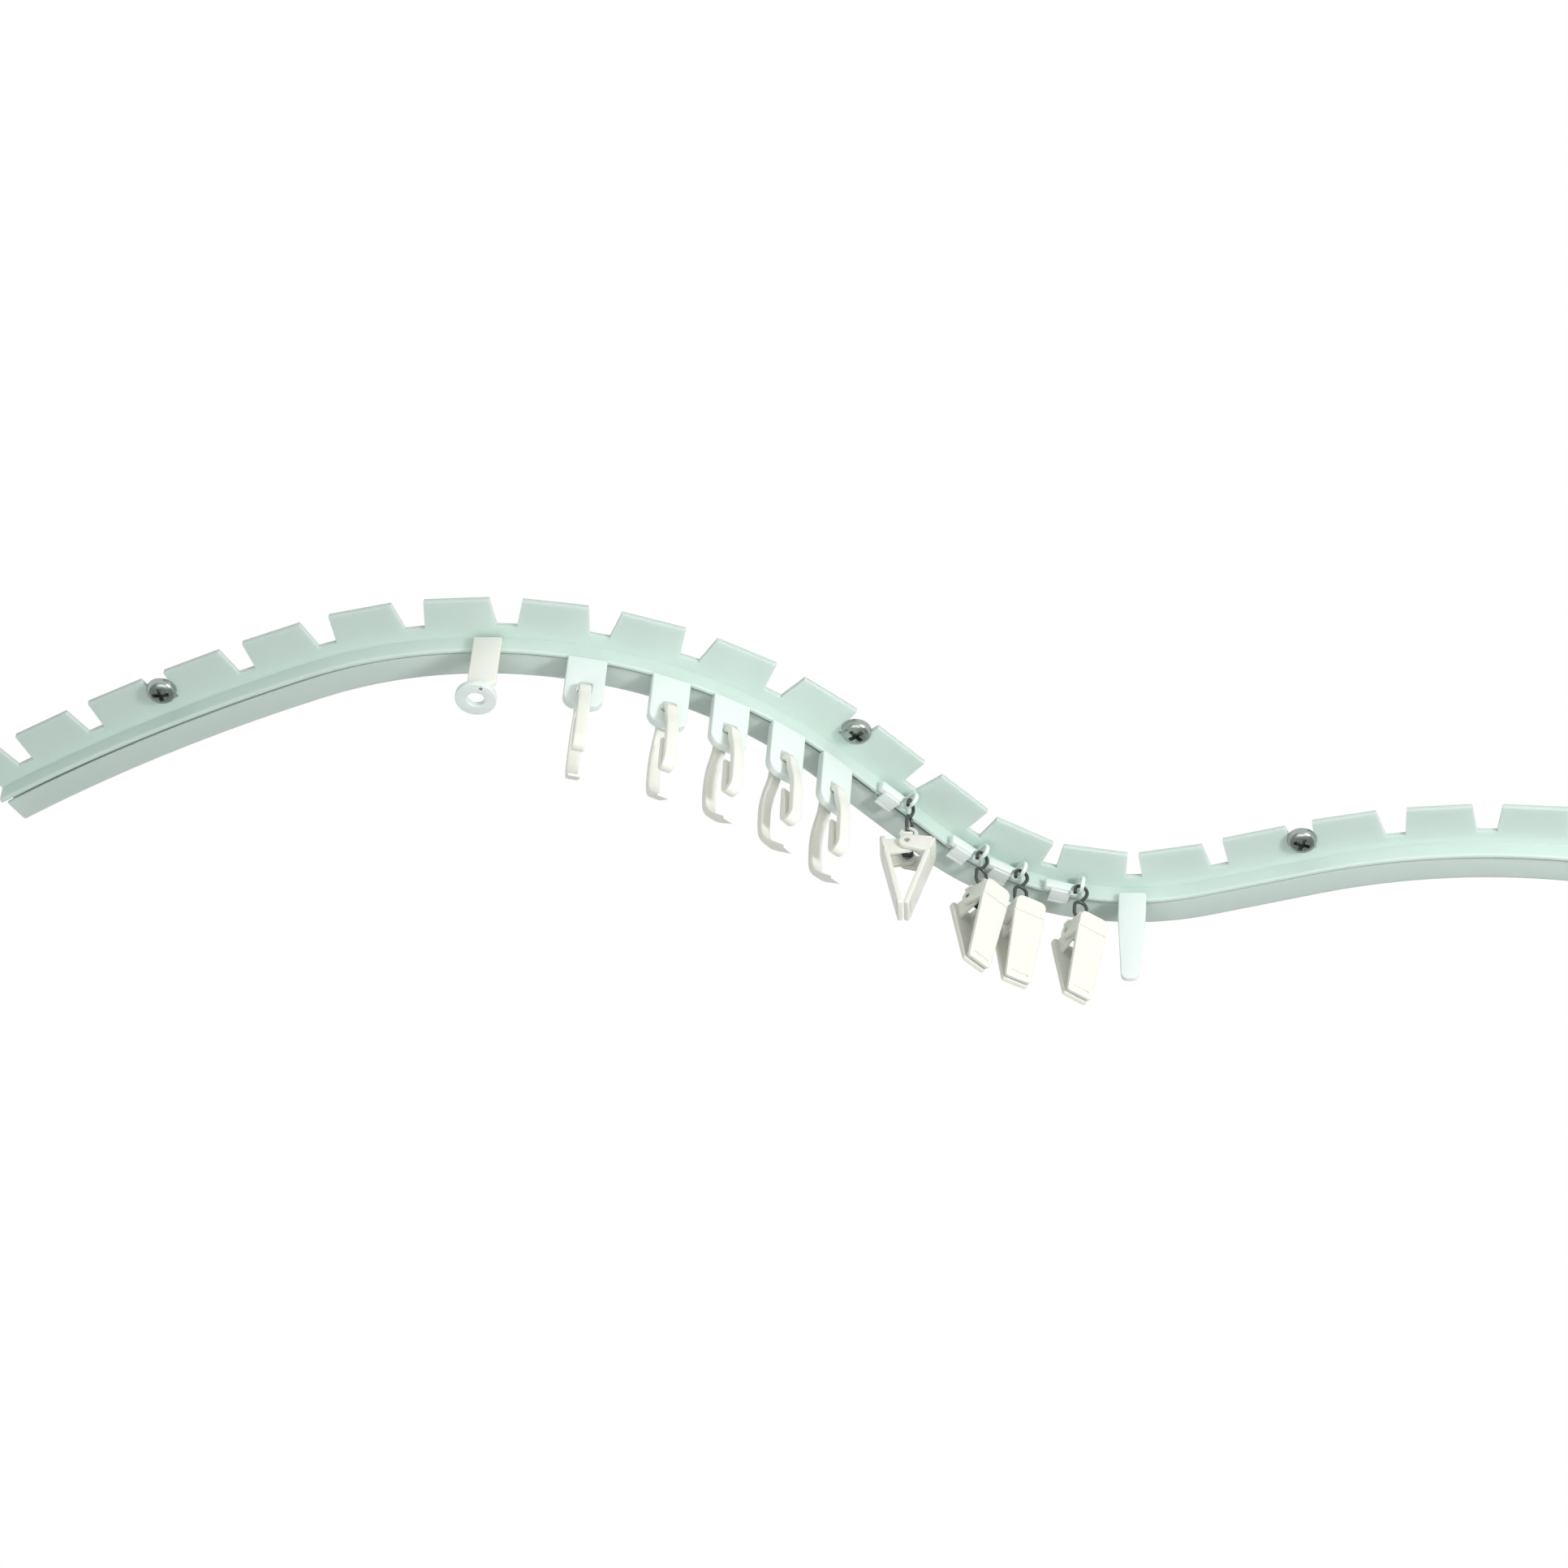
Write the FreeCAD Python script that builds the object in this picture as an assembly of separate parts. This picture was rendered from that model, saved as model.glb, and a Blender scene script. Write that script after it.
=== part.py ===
import FreeCAD, Part
import math
import os

V = FreeCAD.Vector
os.makedirs("parts", exist_ok=True)

# Bendable ceiling curtain track with tab gliders, drapery hooks, clip carriers and two end stops.
# Millimetres. +Z is up, z = 0 is the face that lies against the ceiling.
# +X runs along the track, -Y is the toothed side of the flange.

# track bend, from the left cut end, along the line that keeps its length
origin_place = 217.0
origin_back = 5.0
start_heading = -39.7
left_length = 91.5
left_radius = 510.0
hill_length = 142.0
hill_radius = 116.3
middle_length = 35.0
valley_length = 66.0
valley_radius = 59.5
rise_length = 27.5
right_length = 72.0
right_radius = 165.0
wall_offset = 1.7

# extruded section, measured back from the front of the fascia
flange_thickness = 1.3
root_strip = 3.4
rail_depth = 10.0
wall_thickness = 1.2
fascia_bottom = 5.7
lip_thickness = 0.9
lip_bottom = 4.7
front_ledge = 0.8
slot_width = 1.6
rear_corner_radius = 1.6
edge_chamfer = 0.4

# teeth of the flange
notch_pitch = 22.0
first_notch = 10.5
notch_width = 4.4
notch_mouth = 6.2
tooth_length = 8.1

# fixing screws
screw_notches = [2, 10, 16]
screw_back = 4.2
screw_head_diameter = 7.3
screw_head_height = 2.3
screw_shank_diameter = 3.5
screw_length = 16.0
screw_tip_length = 4.0
recess_span = 3.6
recess_width = 0.9
recess_depth = 1.3

# sliding feet shared by gliders, carriers and stops
side_clearance = 0.3
lip_clearance = 0.05
head_height = 1.6
head_rear_reach = 3.0
head_length = 7.0
neck_length = 5.0
neck_clearance = 0.25
under_clearance = 0.2

# tab gliders with drapery hooks
tab_width = 9.6
tab_thickness = 2.2
tab_front = 0.4
tab_bottom = 22.3
tab_corner_radius = 3.2
tab_bridge_height = 2.2
eye_width = 3.6
eye_height = 3.8
eye_rim = 4.2
eye_corner_radius = 0.6
hook_strip_width = 2.4
hook_strip_thickness = 1.8
hook_bend_gap = 0.9
hook_seat_clearance = 0.6
hook_front_reach = 4.6
hook_rear_reach = 5.6
hook_front_drop = 20.0
hook_rear_drop = 23.0
hook_tip_drop = 30.5
hook_tongue_gap = 2.9
hook_tongue_height = 11.0
glider_places = [162.6, 183.7, 199.7, 216.0, 231.6]
glider_turns = [2.0, 4.0, 12.0, 12.0, -3.0]

# clip carriers with wire eyes
carrier_places = [249.0, 273.4, 284.8, 300.5]
bar_length = 8.4
bar_depth = 3.2
bar_top = 3.0
bar_bottom = 6.6
bar_edge_radius = 0.7
bridge_height = 1.3
lug_thickness = 1.2
lug_back = 2.9
lug_hole_drop = 4.5
lug_hole_radius = 1.3
lug_rim = 1.1
wire_radius = 0.45
wire_sides = 6
wire_loop_radius = 1.6
wire_eye_height = 11.0
wire_seat_clearance = 0.25

# spring clips
clip_turns = [44.0, 4.0, -2.0, 20.0]
clip_eye_radius = 1.3
clip_eye_rim = 1.0
clip_eye_thickness = 1.0
clip_pin_drop = 6.6
clip_length = 27.0
clip_width = 8.0
clip_tip_width = 6.8
clip_spread = 5.6
clip_thickness = 1.3
clip_top_drop = 4.4
clip_pin_radius = 0.8
clip_pin_clearance = 0.05
clip_cheek_thickness = 1.1
clip_cheek_radius = 2.0
clip_cheek_gap = 0.25
clip_tip_gap = 0.1
spring_wire_radius = 0.3
spring_coils = 3
spring_pitch = 0.85

# end stops
left_stop_place = 138.0
left_stop_width = 6.8
left_stop_thickness = 1.5
left_stop_top = 3.0
left_stop_bottom = 19.0
stop_clearance = 0.15
stop_bridge_height = 1.4
eyelet_diameter = 10.0
eyelet_bore = 4.2
eyelet_thickness = 1.6
eyelet_back = 2.6
eyelet_side = 1.5
peg_diameter = 1.0
peg_clearance = 0.02
right_stop_place = 318.2
right_stop_width = 6.8
right_stop_waist = 4.2
right_stop_top = 4.6
right_stop_taper_start = 13.0
right_stop_bottom = 34.0

# values that follow from the sizes above
slot_front = wall_thickness + front_ledge
slot_back = slot_front + slot_width
neck_front = slot_front + neck_clearance
neck_back = slot_back - neck_clearance
lip_top = lip_bottom - lip_thickness
head_bottom = lip_top - lip_clearance
head_top = head_bottom - head_height
head_front = wall_thickness + side_clearance
head_back = slot_back + head_rear_reach
under_fascia = fascia_bottom + under_clearance
track_length = (left_length + hill_length + middle_length + valley_length
                + rise_length + right_length)
segments = [
    (left_length, left_radius),
    (hill_length, hill_radius),
    (middle_length, 0.0),
    (valley_length, -valley_radius),
    (rise_length, 0.0),
    (right_length, right_radius),
]


def advance(x, y, heading, length, radius):
    if radius == 0.0:
        return x + length * math.cos(heading), y + length * math.sin(heading), heading
    turned = heading + length / radius
    nx = x + radius * (math.sin(turned) - math.sin(heading))
    ny = y - radius * (math.cos(turned) - math.cos(heading))
    return nx, ny, turned


def bend_point(distance):
    x, y, heading = 0.0, 0.0, math.radians(start_heading)
    for length, radius in segments:
        if distance <= length:
            return advance(x, y, heading, distance, radius)
        x, y, heading = advance(x, y, heading, length, radius)
        distance = distance - length
    return advance(x, y, heading, distance, 0.0)


# the origin lies on the ceiling face, a little behind the fascia at origin_place
origin_x, origin_y, origin_heading = bend_point(origin_place)
start_x = (wall_offset + origin_back) * math.sin(origin_heading) - origin_x
start_y = -(wall_offset + origin_back) * math.cos(origin_heading) - origin_y


def track_point(distance):
    x, y, heading = bend_point(distance)
    return x + start_x, y + start_y, heading


def at_track(shape, distance):
    # local x runs along the track, local y points back from the front of the fascia
    x, y, heading = track_point(distance)
    moved = shape.copy()
    moved.translate(V(0, wall_offset, 0))
    moved.rotate(V(0, 0, 0), V(0, 0, 1), math.degrees(heading))
    moved.translate(V(x, y, 0))
    return moved


def block(x0, x1, y0, y1, z0, z1):
    return Part.makeBox(x1 - x0, y1 - y0, z1 - z0, V(x0, y0, z0))


def prism(points, direction):
    wire = Part.makePolygon(points + [points[0]])
    return Part.Face(wire).extrude(direction)


def rounded(shape, radius, wanted):
    edges = [edge for edge in shape.Edges if wanted(edge)]
    return shape.makeFillet(radius, edges)


def along(edge, axis):
    ends = edge.Vertexes
    if len(ends) < 2:
        return False
    span = ends[1].Point.sub(ends[0].Point)
    if span.Length < 1e-6:
        return False
    return abs(span.normalize().dot(axis)) > 0.999


def fused(shapes):
    whole = shapes[0]
    for shape in shapes[1:]:
        whole = whole.fuse(shape)
    return whole.removeSplitter()


def save(shape, name):
    solids = shape.Solids
    piece = solids[0] if len(solids) == 1 else shape
    if len(solids) != 1:
        raise ValueError(name + " is not one solid")
    piece.exportStep("parts/" + name + ".step")


# track rail
# The section is drawn once, swept along each stretch of the bend and joined,
# then the straight teeth of the flange are set on its front edge.
section_points = [
    V(0, -root_strip, 0),
    V(0, rail_depth, 0),
    V(0, rail_depth, -lip_bottom),
    V(0, slot_back, -lip_bottom),
    V(0, slot_back, -lip_top),
    V(0, rail_depth - wall_thickness, -lip_top),
    V(0, rail_depth - wall_thickness, -flange_thickness),
    V(0, wall_thickness, -flange_thickness),
    V(0, wall_thickness, -lip_top),
    V(0, slot_front, -lip_top),
    V(0, slot_front, -lip_bottom),
    V(0, wall_thickness, -lip_bottom),
    V(0, wall_thickness, -fascia_bottom),
    V(0, 0, -fascia_bottom),
    V(0, 0, -flange_thickness),
    V(0, -root_strip, -flange_thickness),
]
bar = prism(section_points, V(1, 0, 0))


def section_edge(y, z):
    def test(edge):
        middle = edge.CenterOfMass
        near = abs(middle.y - y) < 1e-3 and abs(middle.z + z) < 1e-3
        return near and along(edge, V(1, 0, 0))
    return test


bar = rounded(bar, rear_corner_radius, section_edge(rail_depth, lip_bottom))
front_edge = [edge for edge in bar.Edges if section_edge(0, fascia_bottom)(edge)]
bar = bar.makeChamfer(edge_chamfer, front_edge)
section = [face for face in bar.Faces if abs(face.CenterOfMass.x) < 1e-6][0]

stretches = []
travelled = 0.0
for length, radius in segments:
    if radius == 0.0:
        stretch = section.extrude(V(length, 0, 0))
    else:
        centre = V(0, radius - wall_offset, 0)
        axis = V(0, 0, 1) if radius > 0 else V(0, 0, -1)
        stretch = section.revolve(centre, axis, math.degrees(length / abs(radius)))
    stretches.append(at_track(stretch, travelled))
    travelled = travelled + length
rail = fused(stretches)

root_half = (notch_pitch - notch_width) / 2
tip_half = (notch_pitch - notch_mouth) / 2
root_y = -root_strip
tip_y = -root_strip - tooth_length
inside_y = -root_strip / 3
notch_count = int((track_length - first_notch) / notch_pitch) + 1
notch_places = [first_notch + index * notch_pitch for index in range(notch_count)]
teeth = []
for index in range(notch_count - 1):
    outline = [
        V(-root_half, inside_y, 0),
        V(-root_half, root_y, 0),
        V(-tip_half, tip_y, 0),
        V(tip_half, tip_y, 0),
        V(root_half, root_y, 0),
        V(root_half, inside_y, 0),
    ]
    tooth = prism(outline, V(0, 0, -flange_thickness))
    teeth.append(at_track(tooth, notch_places[index] + notch_pitch / 2))
left_part = first_notch - notch_width / 2
left_tip = first_notch - notch_mouth / 2
outline = [V(0, inside_y, 0), V(0, tip_y, 0), V(left_tip, tip_y, 0),
           V(left_part, root_y, 0), V(left_part, inside_y, 0)]
teeth.append(at_track(prism(outline, V(0, 0, -flange_thickness)), 0.0))
last_notch = notch_places[-1]
right_part = track_length - last_notch - notch_width / 2
right_tip = track_length - last_notch - notch_mouth / 2
outline = [V(0, inside_y, 0), V(0, tip_y, 0), V(-right_tip, tip_y, 0),
           V(-right_part, root_y, 0), V(-right_part, inside_y, 0)]
teeth.append(at_track(prism(outline, V(0, 0, -flange_thickness)), track_length))
rail = fused([rail] + teeth)
save(rail, "track_rail")

# fixing screws
# Each pan head bears on the two teeth beside its notch, its shank runs up into the ceiling.
head_radius = screw_head_diameter / 2
seat_z = -flange_thickness
dome_radius = screw_head_height * 0.6
screw_y = tip_y + screw_back
head_side = V(head_radius, 0, dome_radius - screw_head_height)
head_mid = V(head_radius - dome_radius * 0.35, 0, dome_radius * 0.35 - screw_head_height)
head_flat = V(head_radius - dome_radius, 0, -screw_head_height)
head_wire = Part.Wire([
    Part.makeLine(V(0, 0, 0), V(head_radius, 0, 0)),
    Part.makeLine(V(head_radius, 0, 0), head_side),
    Part.makeLine(head_side, head_mid),
    Part.makeLine(head_mid, head_flat),
    Part.makeLine(head_flat, V(0, 0, -screw_head_height)),
    Part.makeLine(V(0, 0, -screw_head_height), V(0, 0, 0)),
])
head = Part.Face(head_wire).revolve(V(0, 0, 0), V(0, 0, 1), 360)
shank_radius = screw_shank_diameter / 2
shank_straight = screw_length - screw_tip_length
shank = Part.makeCylinder(shank_radius, shank_straight)
tip = Part.makeCone(shank_radius, shank_radius * 0.12, screw_tip_length, V(0, 0, shank_straight))
slot_one = block(-recess_span / 2, recess_span / 2, -recess_width / 2, recess_width / 2,
                 -screw_head_height - 1, -screw_head_height + recess_depth)
slot_two = block(-recess_width / 2, recess_width / 2, -recess_span / 2, recess_span / 2,
                 -screw_head_height - 1, -screw_head_height + recess_depth)
screw = fused([head, shank, tip]).cut(slot_one).cut(slot_two)
screw_names = ["screw_left", "screw_middle", "screw_right"]
for name, notch, turn in zip(screw_names, screw_notches, [20.0, 5.0, 35.0]):
    one = screw.copy()
    one.rotate(V(0, 0, 0), V(0, 0, 1), turn)
    one.translate(V(0, screw_y, seat_z))
    save(at_track(one, notch_places[notch]), name)


# sliding foot
# The flat head rests on both lips inside the channel and its neck passes down the slot.
def sliding_foot(down_to):
    foot = block(-head_length / 2, head_length / 2, head_front, head_back, -head_bottom, -head_top)
    foot = rounded(foot, 0.5, lambda edge: along(edge, V(0, 0, 1)))
    neck = block(-neck_length / 2, neck_length / 2, neck_front, neck_back, -down_to, -head_bottom + 0.2)
    return foot, neck


# tab gliders
# A rounded plate hangs just under the fascia and carries the hook in its square eye.
foot, neck = sliding_foot(under_fascia + tab_bridge_height)
tab_back = tab_thickness - tab_front
eye_bottom = tab_bottom - eye_rim
plate = block(-tab_width / 2, tab_width / 2, -tab_front, tab_back, -tab_bottom, -under_fascia)
plate = rounded(plate, tab_corner_radius,
                lambda edge: along(edge, V(0, 1, 0)) and edge.CenterOfMass.z < -tab_bottom + 0.1)
bridge = block(-neck_length / 2, neck_length / 2, tab_back - 0.5, neck_back,
               -under_fascia - tab_bridge_height, -under_fascia)
eye = block(-eye_width / 2, eye_width / 2, -tab_front - 1, tab_back + 1,
            -eye_bottom, -eye_bottom + eye_height)
eye = rounded(eye, eye_corner_radius, lambda edge: along(edge, V(0, 1, 0)))
glider = fused([foot, neck, bridge, plate]).cut(eye)

# drapery hooks
# One flat strip: bent over the rim of the eye, a short front leg that turns up again
# as a tongue and a long rear leg that ends in a point.
tab_middle = (tab_back - tab_front) / 2
bend_inner = tab_thickness / 2 + hook_bend_gap
bend_middle = bend_inner + hook_strip_thickness / 2
bend_z = -(eye_bottom - hook_seat_clearance) - bend_inner


def strip_outline(points, widths):
    # widths taper along the leg, the outline is closed round its ends
    left = []
    right = []
    for index, point in enumerate(points):
        before = points[max(index - 1, 0)]
        after = points[min(index + 1, len(points) - 1)]
        direction = (after[0] - before[0], after[1] - before[1])
        size = math.hypot(direction[0], direction[1])
        nx = -direction[1] / size
        nz = direction[0] / size
        half = widths[index] / 2
        left.append((point[0] + nx * half, point[1] + nz * half))
        right.append((point[0] - nx * half, point[1] - nz * half))
    return left, right


def bent_strip(points, widths, width):
    left, right = strip_outline(points, widths)
    outline = [V(-width / 2, y, z) for y, z in left + right[::-1]]
    return prism(outline, V(width, 0, 0))


def arc_points(cy, cz, radius, start, end, count):
    found = []
    for index in range(count + 1):
        angle = math.radians(start + (end - start) * index / count)
        found.append((cy + radius * math.cos(angle), cz + radius * math.sin(angle)))
    return found


bend = Part.makeCylinder(bend_inner + hook_strip_thickness, hook_strip_width, V(0, 0, 0), V(1, 0, 0))
bend = bend.cut(Part.makeCylinder(bend_inner, hook_strip_width, V(0, 0, 0), V(1, 0, 0)))
bend = bend.cut(block(-1, hook_strip_width + 1, -20, 20, -20, 0))
bend.translate(V(-hook_strip_width / 2, 0, 0))
t = hook_strip_thickness
front_foot = -hook_front_drop + hook_tongue_gap / 2
front_line = [(-bend_middle, 0.0), (-bend_middle - 0.2, -2.0), (-hook_front_reach, -7.5),
              (-hook_front_reach, front_foot + 2.0)]
front_line += arc_points(-hook_front_reach + hook_tongue_gap / 2, front_foot,
                         hook_tongue_gap / 2, 180, 360, 4)
front_line += [(-hook_front_reach + hook_tongue_gap, front_foot + 3.0),
               (-hook_front_reach + hook_tongue_gap + 0.3, front_foot + hook_tongue_height)]
front_widths = [t] * (len(front_line) - 1) + [t * 0.6]
rear_line = [(bend_middle, 0.0), (bend_middle + 0.2, -2.0), (hook_rear_reach, -8.0),
             (hook_rear_reach, -hook_rear_drop + 4.0), (hook_rear_reach - 0.8, -hook_rear_drop),
             (hook_rear_reach - 3.0, -hook_rear_drop - 3.6), (0.6, -hook_tip_drop + 0.6),
             (-0.2, -hook_tip_drop)]
rear_widths = [t, t, t, t, t * 0.95, t * 0.8, t * 0.45, t * 0.3]
hook = fused([bend, bent_strip(front_line, front_widths, hook_strip_width),
              bent_strip(rear_line, rear_widths, hook_strip_width)])
# the hook hangs with its centre of mass straight below the bend
hang = hook.Solids[0].CenterOfMass
hook.rotate(V(0, 0, 0), V(1, 0, 0), math.degrees(math.atan2(-hang.y, -hang.z)))

for number, (place, turn) in enumerate(zip(glider_places, glider_turns), 1):
    save(at_track(glider, place), "glider_%d" % number)
    one = hook.copy()
    one.rotate(V(0, 0, 0), V(0, 0, 1), turn)
    one.translate(V(0, tab_middle, bend_z))
    save(at_track(one, place), "hook_%d" % number)

# clip carriers
# A bar rides in front of the fascia, reaches under it to the slot and ends in a lug.
foot, neck = sliding_foot(under_fascia + bridge_height)
bar_back = -side_clearance
bar_front = bar_back - bar_depth
carrier_bar = block(-bar_length / 2, bar_length / 2, bar_front, bar_back, -bar_bottom, -bar_top)
long_edges = [edge for edge in carrier_bar.Edges if along(edge, V(1, 0, 0))
              and edge.CenterOfMass.y < bar_front + 0.01]
carrier_bar = carrier_bar.makeChamfer(bar_edge_radius * 0.6, long_edges)
carrier_bar = rounded(carrier_bar, bar_edge_radius * 1.6, lambda edge: along(edge, V(0, 1, 0))
                      and edge.CenterOfMass.x < -bar_length / 2 + 0.01)
reach = block(-neck_length / 2, neck_length / 2, bar_front + 1.0, neck_back,
              -under_fascia - bridge_height, -under_fascia)
lug_x0 = bar_length / 2 - 0.01
lug_x1 = bar_length / 2 + lug_thickness
lug_y = -lug_back
lug_z = -lug_hole_drop
lug_radius = lug_hole_radius + lug_rim
lug = Part.makeCylinder(lug_radius, lug_x1 - lug_x0, V(lug_x0, lug_y, lug_z), V(1, 0, 0))
lug_x = bar_length / 2 + lug_thickness / 2
wire_z = lug_z - lug_hole_radius + wire_radius + wire_seat_clearance
loop_space = wire_loop_radius + wire_radius + 0.5
hole = Part.makeCylinder(lug_hole_radius, lug_thickness + 2.5, V(lug_x - 2.0, lug_y, lug_z), V(1, 0, 0))
pocket_half = wire_radius + 1.6
pocket = Part.makeCylinder(loop_space, 2 * pocket_half,
                           V(lug_x, lug_y - pocket_half, wire_z - wire_loop_radius), V(0, 1, 0))
pocket = pocket.common(block(-20, lug_x0 + 0.01, -20, 20, -20, 20))
carrier = fused([carrier_bar, reach, neck, foot]).cut(pocket)
carrier = fused([carrier, lug]).cut(hole)

# wire eyes
# Two closed loops of the same wire joined by a straight stem, one in the lug, one in the clip.
top_centre = -wire_loop_radius
low_centre = -wire_eye_height + wire_loop_radius


def ring(ring_radius, section_radius, sides):
    # lies in the xz plane, its section is drawn with flats
    corners = []
    for index in range(sides):
        angle = 2 * math.pi * (index + 0.5) / sides
        corners.append(V(ring_radius + section_radius * math.cos(angle),
                         section_radius * math.sin(angle), 0))
    face = Part.Face(Part.makePolygon(corners + [corners[0]]))
    return face.revolve(V(0, 0, 0), V(0, 1, 0), 360)


top_loop = ring(wire_loop_radius, wire_radius, wire_sides)
top_loop.translate(V(0, 0, top_centre))
low_loop = ring(wire_loop_radius, wire_radius, wire_sides)
low_loop.translate(V(0, 0, low_centre))
stem_top = top_centre - wire_loop_radius
stem_low = low_centre + wire_loop_radius
stem_corners = []
for index in range(wire_sides):
    angle = 2 * math.pi * index / wire_sides
    stem_corners.append(V(wire_radius * math.cos(angle), wire_radius * math.sin(angle), stem_low))
stem = prism(stem_corners, V(0, 0, stem_top - stem_low))
wire_eye = fused([top_loop, low_loop, stem])

# spring clips
# Two tapered jaws on one pin, pressed shut at the tips by a small coil, hung by the eye of the front jaw.
eye_z = wire_radius + wire_seat_clearance - clip_eye_radius
pin_z = -clip_pin_drop
tip_z = -clip_length
top_z = -clip_top_drop
inner_half = spring_coils * spring_pitch / 2 + 0.35
back_cheek_in = inner_half
back_cheek_out = back_cheek_in + clip_cheek_thickness
front_cheek_in = back_cheek_out + clip_cheek_gap
front_cheek_out = front_cheek_in + clip_cheek_thickness
half_gap = clip_tip_gap / 2


def jaw_plate(side):
    # outline seen along the pin, leaning out from the tip to the thumb end
    outline = [
        V(0, side * half_gap, tip_z),
        V(0, side * (half_gap + clip_thickness), tip_z),
        V(0, side * (clip_spread + clip_thickness), top_z),
        V(0, side * clip_spread, top_z),
    ]
    plate = prism(outline, V(clip_width, 0, 0))
    plate.translate(V(-clip_width / 2, 0, 0))
    drop = top_z - tip_z
    trim = (clip_width - clip_tip_width) / 2
    for hand in (1, -1):
        wedge = [
            V(hand * clip_width / 2, -20, top_z - drop * 0.25),
            V(hand * (clip_width / 2 - trim), -20, tip_z - 0.1),
            V(hand * (clip_width / 2 + 2), -20, tip_z - 0.1),
            V(hand * (clip_width / 2 + 2), -20, top_z - drop * 0.25),
        ]
        plate = plate.cut(prism(wedge, V(0, 40, 0)))
    return rounded(plate, 0.9, lambda edge: edge.CenterOfMass.z > top_z - 0.3
                   and abs(edge.CenterOfMass.x) > clip_width / 2 - 0.1)


def cheeks(side, inner, outer):
    found = []
    lean = clip_spread * (pin_z - tip_z) / (top_z - tip_z)
    for hand in (1, -1):
        start = inner if hand > 0 else -outer
        disc = Part.makeCylinder(clip_cheek_radius, outer - inner, V(start, 0, pin_z), V(1, 0, 0))
        arm = prism([
            V(start, 0, pin_z + clip_cheek_radius),
            V(start, side * (lean + 0.9), pin_z + clip_cheek_radius * 0.8),
            V(start, side * (lean - 0.3), pin_z - clip_cheek_radius * 1.6),
            V(start, 0, pin_z - clip_cheek_radius),
        ], V(outer - inner, 0, 0))
        found += [disc, arm]
    return found


pin_hole = Part.makeCylinder(clip_pin_radius + clip_pin_clearance, 40, V(-20, 0, pin_z), V(1, 0, 0))
front_jaw = jaw_plate(-1)
yoke_top = pin_z + clip_cheek_radius + 1.0
yoke = block(-front_cheek_out, front_cheek_out, -1.2, 1.2, pin_z + clip_cheek_radius - 0.35, yoke_top)
yoke_room = block(-front_cheek_in, front_cheek_in, -5, 5, pin_z, pin_z + clip_cheek_radius + 0.25)
eye_disc = Part.makeCylinder(clip_eye_radius + clip_eye_rim, clip_eye_thickness,
                             V(-clip_eye_thickness / 2, 0, eye_z), V(1, 0, 0))
eye_leg = block(-clip_eye_thickness / 2, clip_eye_thickness / 2, -1.6, 1.6, yoke_top - 0.3, eye_z)
eye_hole = Part.makeCylinder(clip_eye_radius, 10, V(-5, 0, eye_z), V(1, 0, 0))
front_clip = fused([front_jaw] + cheeks(-1, front_cheek_in, front_cheek_out)
                   + [yoke.cut(yoke_room), eye_disc, eye_leg])
front_clip = front_clip.cut(eye_hole).cut(pin_hole)
back_clip = fused([jaw_plate(1)] + cheeks(1, back_cheek_in, back_cheek_out)).cut(pin_hole)
clip_pin = Part.makeCylinder(clip_pin_radius, 2 * front_cheek_out, V(-front_cheek_out, 0, pin_z), V(1, 0, 0))
spring_bore = clip_pin_radius + 0.12
spring_half = spring_coils * spring_pitch / 2
valley = spring_bore + spring_wire_radius
crown = spring_bore + 2 * spring_wire_radius
coil_line = [V(-spring_half, spring_bore, 0), V(spring_half, spring_bore, 0)]
for index in range(spring_coils):
    right = spring_half - index * spring_pitch
    coil_line += [V(right, valley, 0), V(right - 0.5 * spring_pitch, crown, 0)]
coil_line.append(V(-spring_half, valley, 0))
coil_line.append(coil_line[0])
spring = Part.Face(Part.makePolygon(coil_line)).revolve(V(0, 0, 0), V(1, 0, 0), 360)
spring.translate(V(0, 0, pin_z))

hang = V(0, 0, 0)
weight = 0.0
for shape in (front_clip, back_clip, clip_pin, spring):
    solid = shape.Solids[0]
    hang = hang.add(V(solid.CenterOfMass).multiply(solid.Volume))
    weight = weight + solid.Volume
hang.multiply(1 / weight)
level = math.degrees(math.atan2(-hang.y, -hang.z))

clip_z = wire_z - wire_eye_height
for number, (place, turn) in enumerate(zip(carrier_places, clip_turns), 1):
    save(at_track(carrier, place), "carrier_%d" % number)
    half_turn = turn / 2
    one = wire_eye.copy()
    one.rotate(V(0, 0, 0), V(0, 0, 1), half_turn)
    one.translate(V(lug_x, lug_y, wire_z))
    save(at_track(one, place), "wire_eye_%d" % number)
    for shape, name in ((front_clip, "clip_front"), (back_clip, "clip_back"),
                        (clip_pin, "clip_pin"), (spring, "clip_spring")):
        one = shape.copy()
        one.rotate(V(0, 0, 0), V(1, 0, 0), level)
        one.rotate(V(0, 0, 0), V(0, 0, 1), turn)
        one.translate(V(lug_x, lug_y, clip_z))
        save(at_track(one, place), "%s_%d" % (name, number))

# left end stop
# A flat stem in front of the fascia grips it with a foot in the slot, and carries a flat eyelet.
foot, neck = sliding_foot(under_fascia + stop_bridge_height)
stem_back = -stop_clearance
stem_front = stem_back - left_stop_thickness
stop_stem = block(-left_stop_width / 2, left_stop_width / 2, stem_front, stem_back,
                  -left_stop_bottom, -left_stop_top)
reach = block(-neck_length / 2, neck_length / 2, stem_back - 0.3, neck_back,
              -under_fascia - stop_bridge_height, -under_fascia)
peg_y = (stem_front + stem_back) / 2
peg = Part.makeCylinder(peg_diameter / 2, eyelet_thickness, V(0, peg_y, -left_stop_bottom - eyelet_thickness))
save(at_track(fused([stop_stem, reach, neck, foot, peg]), left_stop_place), "left_stop_stem")
eyelet_top = -left_stop_bottom
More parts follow.
